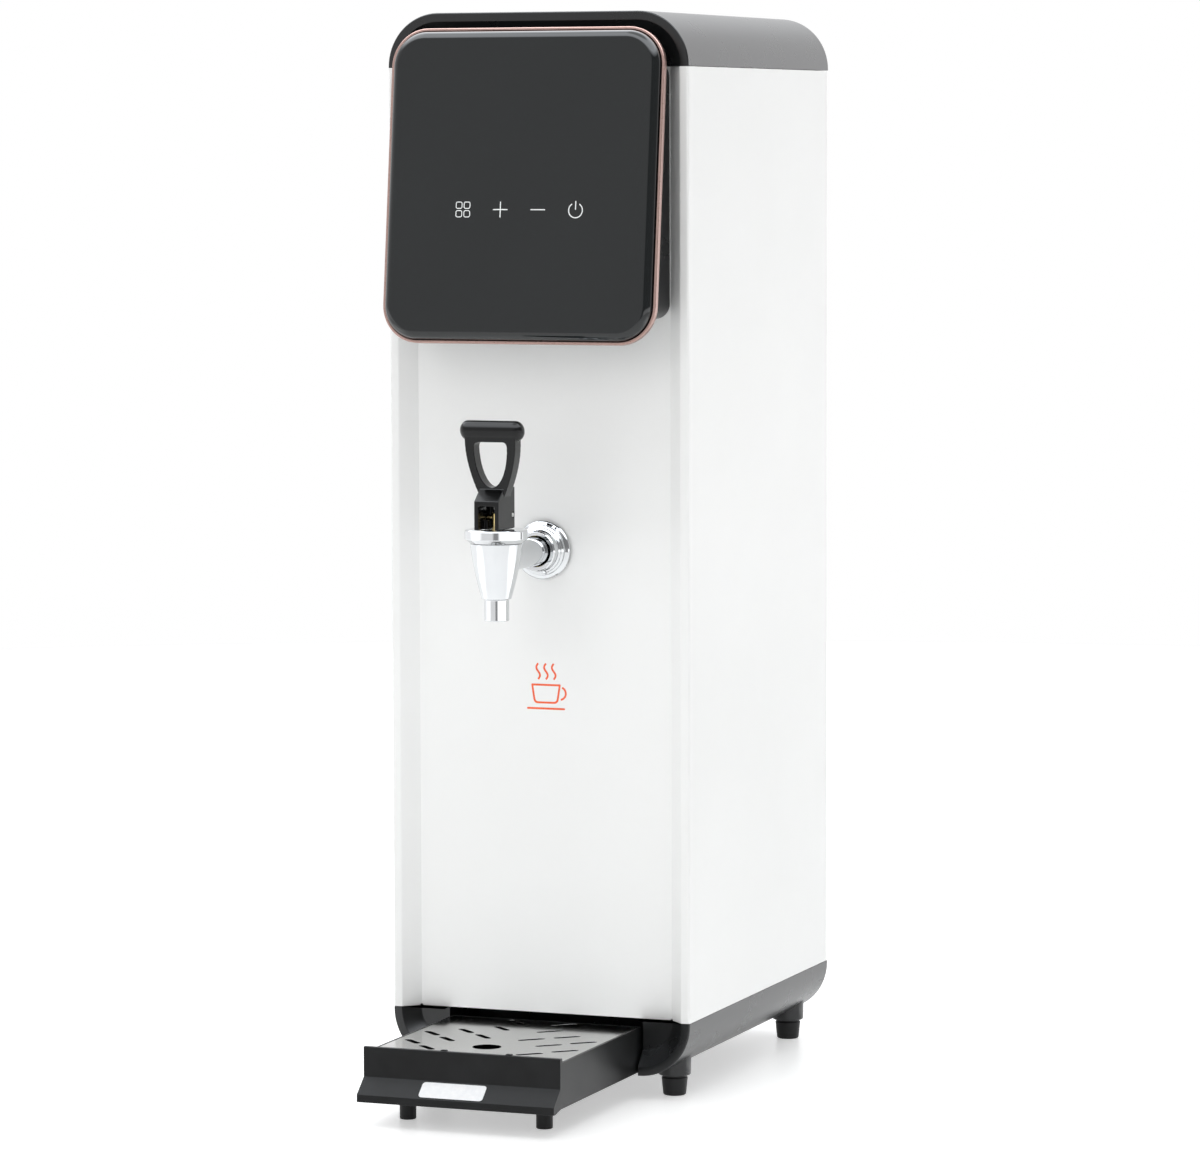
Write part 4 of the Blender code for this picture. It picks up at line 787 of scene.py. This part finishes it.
def handle_shapes():
    """The handle's overlapping solids: forked block, wishbone and grip bar."""
    base = BONNET_Z[1] + SEAM
    lean = Matrix.Identity(4)
    lean[1][2], lean[1][3] = HANDLE_LEAN, -HANDLE_LEAN * LEAN_Z
    y, z = PIN
    side = [(-0.090, base), *arc((y, z), z - base, -90.0, -70.0, 5), (-0.062, 0.4060), (-0.081, 0.4052),
            (-0.090, 0.3978)]
    block = plate_x("lever_handle", side, -0.0084, 0.0084)
    half, widest_z, drop = 0.0174, 0.4354, 0.0304
    levels = [LOOP_Z + (LOOP_TOP - LOOP_Z) * i / 20 for i in range(21)]
    right = [(half * (1.0 - 0.40 * (max(widest_z - h, 0.0) / drop) ** 1.8), h) for h in levels]
    outline = right + [(-x, h) for x, h in reversed(right)]
    opening = [(0.0114 * x, 0.4325 + 0.0262 * y) for x, y in arc((0.0, 0.0), 1.0, 180.0, 360.0, 30)]
    opening += arc((0.0086, 0.4328), 0.0027, 8.0, 90.0, 6) + arc((-0.0086, 0.4328), 0.0027, 90.0, 172.0, 6)
    loop = plate_y("wishbone", outline, STEM_Y - 0.0052, STEM_Y + 0.0052, [opening])
    loop.data.transform(lean)
    half = BAR_LENGTH / 2 + 0.0008
    round_end = [(BAR_RADIUS * x, half - 0.0056 * (1.0 - y)) for x, y in arc((0.0, 0.0), 1.0, 0.0, 90.0, 10)]
    profile = [(r, h) for r, h in reversed(round_end)] + [(r, -h) for r, h in round_end]
    bar = lathe("grip_bar", profile, (0.0, 0.0, 0.0), 0.0, 64)
    bar.data.transform(FRONT_FRAME.inverted())
    lying = Matrix.Translation((0.0, STEM_Y, BAR_Z)) @ Matrix.Rotation(math.pi / 2, 4, "Y")
    bar.data.transform(lean @ FRONT_FRAME @ lying)
    return block, loop, bar


def make_handle():
    """The lever handle as one moulding: its solids joined, remeshed and eased into each other."""
    block, loop, bar = handle_shapes()
    handle = join(block, loop, bar)
    ledge, below, front = CROSS_Z - CROSS_RADIUS - SEAM, 0.370, -0.100
    gap = [(front, below), (-0.050, below), (-0.050, 0.3935), (front, 0.3935)]
    room = [(-0.0805, ledge), (-0.0705, ledge), (-0.0705, 0.3945), (-0.0805, 0.3945)]
    mouth = [(-0.0057, below), (0.0057, below), (0.0057, 0.3948), (-0.0057, 0.3948)]
    y, z = PIN
    cut(handle,
        plate_x("fork_gap", gap, -0.0030, 0.0030),
        plate_x("head_room", room, -0.0056, 0.0056),
        plate_y("fork_mouth", eased(mouth, [0.0, 0.0, 0.0012, 0.0012]), front, -0.0800),
        rod("pin_bore", 0.0019, (-0.020, y, z), (0.020, y, z), 32))
    remesh = handle.modifiers.new("remesh", "REMESH")
    remesh.mode = "VOXEL"
    remesh.voxel_size = 0.00032
    remesh.use_smooth_shade = True
    smooth = handle.modifiers.new("smooth", "SMOOTH")
    smooth.factor = 0.5
    smooth.iterations = 7
    thin = handle.modifiers.new("thin", "DECIMATE")
    thin.ratio = 0.35
    settle(handle)
    stand_in(soften(handle, 0.0, angle=70.0), GLOSSY, "tap_handle")
    pin = rod("hinge_pin", 0.0014, (-0.0086, y, z), (0.0086, y, z), 32)
    stand_in(soften(pin, 0.0003, 2, 50.0), STEEL, "handle_pin")


# ---- Drip tray ---------------------------------------------------------------------------------
def make_tray():
    """The drip tray: basin, flared lip, two stops on the lip and a tongue for the base's bay."""
    bottom, shelf = TRAY_LOW.z + 0.0015, 0.0185
    side = [(LIP_Y + 0.003, TRAY_TOP), (LIP_Y + 0.003, bottom), (TRAY_REAR, bottom), (TRAY_REAR, shelf),
            (0.040, shelf), (0.040, 0.0212), (TRAY_REAR, 0.0212), (TRAY_REAR, TRAY_TOP)]
    tray = plate_x("tray_basin", side, -TRAY_HALF, TRAY_HALF)
    reach, lip_top = TRAY_LOW.y, 0.0497
    lip = eased([(LIP_Y, lip_top), (LIP_Y, FLARE_Z[1]), (reach, FLARE_Z[0]), (reach, 0.0155),
                 (reach + 0.003, 0.0155), (LIP_Y + 0.0035, 0.0180), (LIP_Y + 0.0035, lip_top)],
                [0.0006, 0.0010, 0.0006, 0.0005, 0.0006, 0.0, 0.0006], 4)
    join(tray, plate_x("lip", lip, TRAY_LOW.x, TRAY_HIGH.x))
    low, high = GRILLE_LOW, GRILLE_HIGH
    middle = (low.y + high.y) / 2
    ledge = low.z - SEAM
    pocket = rectangle(2 * (high.x + 0.0004), high.y - low.y + 0.0008, (0.0, middle))
    floor = rounded_rectangle(2 * (high.x - 0.002), high.y - low.y - 0.004, 0.006, 8, (0.0, middle))
    cut(tray, plate("pocket", pocket, ledge, 0.060), plate("basin", floor, bottom + 0.0016, 0.060))
    for x in (-0.0127, 0.0320):
        stop = eased([(x - 0.0026, 0.0485), (x + 0.0026, 0.0485), (x + 0.0020, 0.0505), (x - 0.0020, 0.0505)],
                     [0.0, 0.0, 0.0009, 0.0009])
        join(tray, plate_y("stop", stop, LIP_Y + 0.0010, LIP_Y + 0.0033))
    stand_in(soften(tray, 0.00025, 2, 38.0), TRAY_BLACK, "drip_tray")


def make_grille():
    """The lift-off steel plate: slanted slots in mirrored columns, and one round drain hole."""
    columns = ((0.0170, (-0.0580, -0.0255, 0.0)), (0.0355, (-0.1080, -0.0745, -0.0420)),
               (0.0530, (-0.0905, -0.0577)))
    holes = [slot(0.0186, 0.0045, side * 42.0, (side * x, y))
             for side in (-1, 1) for x, rows in columns for y in rows]
    low, high = GRILLE_LOW, GRILLE_HIGH
    outline = rounded_rectangle(high.x - low.x, high.y - low.y, 0.002, 6, (0.0, (low.y + high.y) / 2))
    holes.append(circle(0.0094, 48, (0.0, -0.0930)))
    grille = plate("grille_plate", outline, high.z - 0.0006, high.z, FRONT_FRAME, holes)
    stand_in(soften(grille, 0.00012, 2, 40.0), BRUSHED, "drip_grille")


def make_tray_trim():
    """The blank label on the flare, and the tray's own feet."""
    slope = math.atan2(FLARE_Z[1] - FLARE_Z[0], LIP_Y - TRAY_LOW.y)
    middle = Vector((-0.0037, (TRAY_LOW.y + LIP_Y) / 2, sum(FLARE_Z) / 2))
    outward = Vector((0.0, -math.sin(slope), math.cos(slope)))
    place = Matrix.Translation(middle + 0.0001 * outward)
    frame_here = FRONT_FRAME @ place @ Matrix.Rotation(slope, 4, "X")
    label = plate("blank_label", rounded_rectangle(0.0440, 0.0125, 0.0022, 8), 0.0, 0.00022, frame_here)
    stand_in(soften(label, 0.00008, 2, 50.0), LABEL, "tray_label")
    for name in ("tray_foot_left", "tray_foot_right"):
        top = span(name)[1].z
        profile = [(0.0, 0.0), (0.0050, 0.0), (0.0054, 0.0006), (0.0054, top), (0.0, top)]
        foot = lathe(f"rubber_{name}", profile, middle_of(name), [0.0, 0.0003, 0.0004, 0.0, 0.0], 40)
        stand_in(soften(foot, 0.0, angle=50.0), RUBBER, name)


# ---- Rear ports --------------------------------------------------------------------------------
def threaded(name, radius, pitch, height, start, end, x, z, bore, steps=48):
    """A tube with a helical thread outside, between two depths."""
    per_pitch = 8
    rows = int(round((end - start) / pitch * per_pitch))
    around = circle(1.0, steps)
    loops = [[(bore * c, bore * s, start) for c, s in around]]
    for row in range(rows + 1):
        depth = start + (end - start) * row / rows
        fade = min(1.0, row / per_pitch, (rows - row) / per_pitch)
        loop = []
        for i, (c, s) in enumerate(around):
            phase = (depth - start) / pitch - i / steps
            ridge = 1.0 - abs(2.0 * (phase % 1.0) - 1.0)
            r = radius - height * (1.0 - fade * min(1.0, 1.35 * ridge))
            loop.append((r * c, r * s, depth))
        loops.append(loop)
    loops.append([(bore * c, bore * s, end) for c, s in around])
    place = FRONT_FRAME @ Matrix.Translation((x, 0.0, z)) @ Matrix.Rotation(-math.pi / 2, 4, "X")
    tube = loft(name, loops, place)
    hole = plate("hole", circle(bore, steps), start + 0.002, end + 0.01, place)
    return cut(tube, hole)


def make_inlet():
    """The inlet valve's body with its nozzle and armature tube, and the thread behind the panel."""
    x, z, inner = INLET_X, PORT_Z, REAR_Y - SHEET - SEAM
    valve_y = 0.2520
    rear = span("inlet_valve")[1].y
    inlet = threaded("water_inlet", 0.0132, 0.0018, 0.0011, inner - 0.0005, rear, x, z, 0.0090)
    body = lathe("inlet_body", [(0.0, 0.2350), (0.0120, 0.2350), (0.0120, 0.2690), (0.0160, 0.2700),
                                (0.0160, inner), (0.0, inner)], (x, 0.0, z),
                 [0.0, 0.0015, 0.0008, 0.0008, 0.0004, 0.0], 64, lying=True)
    join(body, rod("nozzle", 0.0050, (x, 0.2150, z), (x, 0.2400, z)),
         rod("armature_tube", 0.0056, (x, valve_y, 0.0820), (x, valve_y, 0.1310)))
    cut(body, rod("armature_bore", 0.0043, (x, valve_y, 0.0836), (x, valve_y, 0.1290)),
        rod("inlet_bore", 0.0088, (x, 0.2620, z), (x, 0.3200, z)))
    stand_in(soften(body, 0.0003, 2, 50.0), NYLON, "inlet_valve")
    piece(soften(inlet, 0.0, angle=60.0), NYLON, "dispenser", "white_plastic")


def make_spigot(name, cad_node, x, material, barbs):
    """A flanged tube through the rear panel, with barbs for a hose or none for a cap."""
    low, high = span(cad_node)
    inner = REAR_Y - SHEET - SEAM
    profile = [(0.0042, low.y), (0.0060, low.y), (0.0060, 0.2760), (0.0105, 0.2760), (0.0105, inner),
               (0.0079, inner)]
    for i in range(barbs):
        step = inner + 0.003 + i * 0.0045
        profile += [(0.0071, step), (0.0080, step + 0.0003), (0.0071, step + 0.0040)]
    profile += [(0.0076, high.y), (0.0042, high.y)]
    port = lathe(name, profile, (x, 0.0, PORT_Z), 0.00025, 48, lying=True)
    stand_in(soften(port, 0.0, angle=45.0), material, cad_node)


def fluted(radius, depth, count, per_flute=8):
    """A circle with a gentle flute cut between each grip rib."""
    flutes = [radius - depth * 0.5 * (1.0 - x) for x, _ in circle(1.0, per_flute)]
    return [(x * reach, y * reach) for (x, y), reach in zip(circle(1.0, count * per_flute), flutes * count)]


def make_cap():
    """The drain's screw cap, ribbed for the fingers."""
    x, z = DRAIN_X, PORT_Z
    low, high = span("drain_cap")
    outline = [(x + a, z + b) for a, b in fluted(high.x - x, 0.0007, 22)]
    cap = plate_y("ribbed_drain_cap", outline, low.y, high.y)
    cut(cap, rod("cap_room", 0.0083, (x, low.y - 0.01, z), (x, 0.2945, z)))
    stand_in(soften(cap, 0.0004, 3, 60.0), SATIN, "drain_cap")


def make_gland():
    """The strain relief: a hexagonal foot and a domed nut round the cord's entry."""
    x, z = GLAND_X, GLAND_Z
    low, high = span("cable_gland")
    foot = plate_y("cord_gland", circle(0.0123, 6, (x, z)), REAR_Y + SEAM, REAR_Y + 0.0055)
    dome = lathe("dome", [(0.0, low.y), (0.0080, low.y), (0.0080, REAR_Y + 0.004), (0.0102, REAR_Y + 0.0052),
                          (0.0100, 0.2905), (0.0092, 0.2960), (0.0065, high.y), (0.0, high.y)],
                 (x, 0.0, z), [0, 0, 0.0004, 0.0004, 0.0006, 0.002, 0.001, 0], 64, lying=True)
    join(foot, dome)
    cut(foot, rod("cord_way", 0.0037, (x, 0.25, z), (x, 0.32, z)))
    stand_in(soften(foot, 0.0003, 2, 45.0), SATIN, "cable_gland")


# ---- Everything inside, and finishes on the CAD's own pieces -------------------------------------
def finish_carried_nodes():
    """Gives each CAD node that still shows its slot's finish and smooth round sides."""
    for name, obj in NODES.items():
        if obj.hide_render:
            continue
        obj.data.materials.clear()
        obj.data.materials.append(SLOT_MATERIAL[NODE_SLOT[name]])
        obj.data.shade_smooth()
        obj.data.set_sharp_from_angle(angle=math.radians(33.0))


# ---- Stage, light and camera ---------------------------------------------------------------------
def make_floor():
    """A plain pale disc, a hair under the object's feet."""
    bm = bmesh.new()
    rim = [bm.verts.new((x, y, 0.0)) for x, y in circle(3.0, 96)]
    bm.faces.new(rim)
    floor = link("floor", bm, Matrix.Translation((0.0, 0.0, -0.00005)))
    pale = surface("pale_floor", ((0.86, 0.87, 0.87), (0.88, 0.885, 0.885)), 3.0, (0.30, 0.36),
                   grain=(60.0, 0.03, 0.0002), Emission_Color=(1.0, 1.0, 1.0, 1.0), Emission_Strength=0.46)
    floor.data.materials.append(pale)


def soft_box(name, place, target, size, power):
    """A rectangular light that neither the camera nor a reflection sees."""
    light = bpy.data.lights.new(name, "AREA")
    light.shape = "RECTANGLE"
    light.size, light.size_y = size
    light.energy = power
    obj = bpy.data.objects.new(name, light)
    bpy.context.scene.collection.objects.link(obj)
    obj.location = place
    obj.rotation_euler = (Vector(target) - Vector(place)).to_track_quat("-Z", "Y").to_euler()
    obj.visible_camera = False
    obj.visible_glossy = False


def background(tree, colour, strength):
    return node(tree, "ShaderNodeBackground", Color=colour, Strength=strength).outputs["Background"]


def blend_colours(tree, share, first, second):
    mixer = node(tree, "ShaderNodeMix", {"data_type": "RGBA"})
    colours = [socket for socket in mixer.inputs if socket.type == "RGBA"]
    tree.links.new(share, mixer.inputs["Factor"])
    for socket, colour in zip(colours, (first, second)):
        if isinstance(colour, tuple):
            socket.default_value = colour
        else:
            tree.links.new(colour, socket)
    return [socket for socket in mixer.outputs if socket.type == "RGBA"][0]


def make_world():
    """A white studio. Reflections see its screens and the darker gaps between them.

    low and high pair a share of the way round, from -X by way of the front, with the brightness
    that a reflection finds there below and above the horizon.
    """
    world = bpy.data.worlds.new("studio")
    bpy.context.scene.world = world
    world.use_nodes = True
    tree = world.node_tree
    tree.nodes.clear()
    direction = tree.nodes.new("ShaderNodeTexCoord").outputs["Generated"]
    around = node(tree, "ShaderNodeTexGradient", {"gradient_type": "RADIAL"}, Vector=direction).outputs["Fac"]
    low = ((0.000, 0.50), (0.040, 0.72), (0.130, 0.72), (0.165, 0.40), (0.270, 0.40), (0.290, 0.14),
           (0.325, 0.14), (0.350, 0.72), (0.500, 0.78), (0.582, 0.78), (0.590, 0.10), (0.604, 0.10),
           (0.616, 0.86), (0.700, 0.70), (0.800, 0.45), (1.000, 0.50))
    high = ((0.000, 0.45), (0.140, 0.34), (0.270, 0.32), (0.300, 0.10), (0.340, 0.12), (0.580, 0.12),
            (0.620, 0.80), (0.680, 0.76), (0.720, 0.60), (0.800, 0.45), (1.000, 0.45))
    height = node(tree, "ShaderNodeSeparateXYZ", Vector=direction).outputs["Z"]
    low, high = (ramp(tree, around, tuple((place, (share, share, share * 1.01)) for place, share in shares))
                 for shares in (low, high))
    screens, ceiling, zenith = low, (1.85, 1.92, 2.0, 1.0), (0.78, 0.80, 0.82, 1.0)
    for start, end, above in ((-0.03, 0.03, high), (0.42, 0.62, ceiling), (0.90, 0.96, zenith)):
        screens = blend_colours(tree, spread(tree, height, 0.0, 1.0, start, end), screens, above)
    path = tree.nodes.new("ShaderNodeLightPath").outputs
    white = (1.0, 1.0, 1.0, 1.0)
    lit = node(tree, "ShaderNodeMixShader", Fac=path["Is Glossy Ray"])
    tree.links.new(background(tree, white, 0.46), lit.inputs[1])
    tree.links.new(background(tree, screens, 2.5), lit.inputs[2])
    shown = node(tree, "ShaderNodeMixShader", Fac=path["Is Camera Ray"])
    tree.links.new(lit.outputs["Shader"], shown.inputs[1])
    tree.links.new(background(tree, white, 1.0), shown.inputs[2])
    output = tree.nodes.new("ShaderNodeOutputWorld")
    tree.links.new(shown.outputs["Shader"], output.inputs["Surface"])


def make_lights():
    """Two soft boxes, and a pool of light on the floor at each side for the chrome to mirror."""
    soft_box("overhead", (0.1, -0.2, 2.6), (0.0, -0.05, 0.0), (2.6, 2.6), 30.0)
    for x, y in ((-0.97, -0.55), (1.02, 0.15)):
        light = bpy.data.lights.new("floor_pool", "SPOT")
        light.energy = 200.0
        light.spot_size = math.radians(26.0)
        light.spot_blend = 0.7
        light.shadow_soft_size = 0.05
        pool = bpy.data.objects.new("floor_pool", light)
        bpy.context.scene.collection.objects.link(pool)
        pool.location = (x, y, 2.2)
        pool.visible_glossy = False
    soft_box("front_fill", (-0.5, -3.2, 1.7), (0.0, -0.1, 0.4), (2.0, 2.0), 19.0)


def make_camera():
    """The camera that the perspective fit gave, looking a little down at the front's right corner."""
    yaw, pitch, roll = 0.367015, 0.084286, -0.002729
    view = Vector((-math.sin(yaw), math.cos(yaw), 0.0))
    right = Vector((math.cos(yaw), math.sin(yaw), 0.0))
    up = Vector((0.0, 0.0, 1.0))
    ahead = view * math.cos(pitch) - up * math.sin(pitch)
    above = up * math.cos(pitch) + view * math.sin(pitch)
    across = right * math.cos(roll) + above * math.sin(roll)
    above = above * math.cos(roll) - right * math.sin(roll)
    camera = bpy.data.cameras.new("camera")
    camera.sensor_width = 36.0
    camera.lens = 155.173
    camera.clip_end = 200.0
    obj = bpy.data.objects.new("camera", camera)
    bpy.context.scene.collection.objects.link(obj)
    turn = Matrix((across, above, -ahead)).transposed().to_4x4()
    obj.matrix_world = Matrix.Translation((1.250097, -3.217518, 0.629120)) @ turn
    bpy.context.scene.camera = obj


def build():
    make_camera()
    make_world()
    make_lights()
    make_floor()
    make_casing()
    make_rear_plate()
    make_cover()
    make_base()
    make_feet()
    make_screws()
    make_housing()
    make_panel()
    make_icons()
    make_mark()
    make_tap_mount()
    make_tap_body()
    make_bonnet()
    make_valve_stem()
    make_handle()
    make_tray()
    make_grille()
    make_tray_trim()
    make_inlet()
    make_spigot("drain_spigot", "drain_fitting", DRAIN_X, BRASS, 0)
    make_spigot("overflow_spigot", "overflow_fitting", OVERFLOW_X, NYLON, 3)
    make_cap()
    make_gland()
    finish_carried_nodes()
    bpy.context.scene.view_settings.view_transform = "Standard"


build()
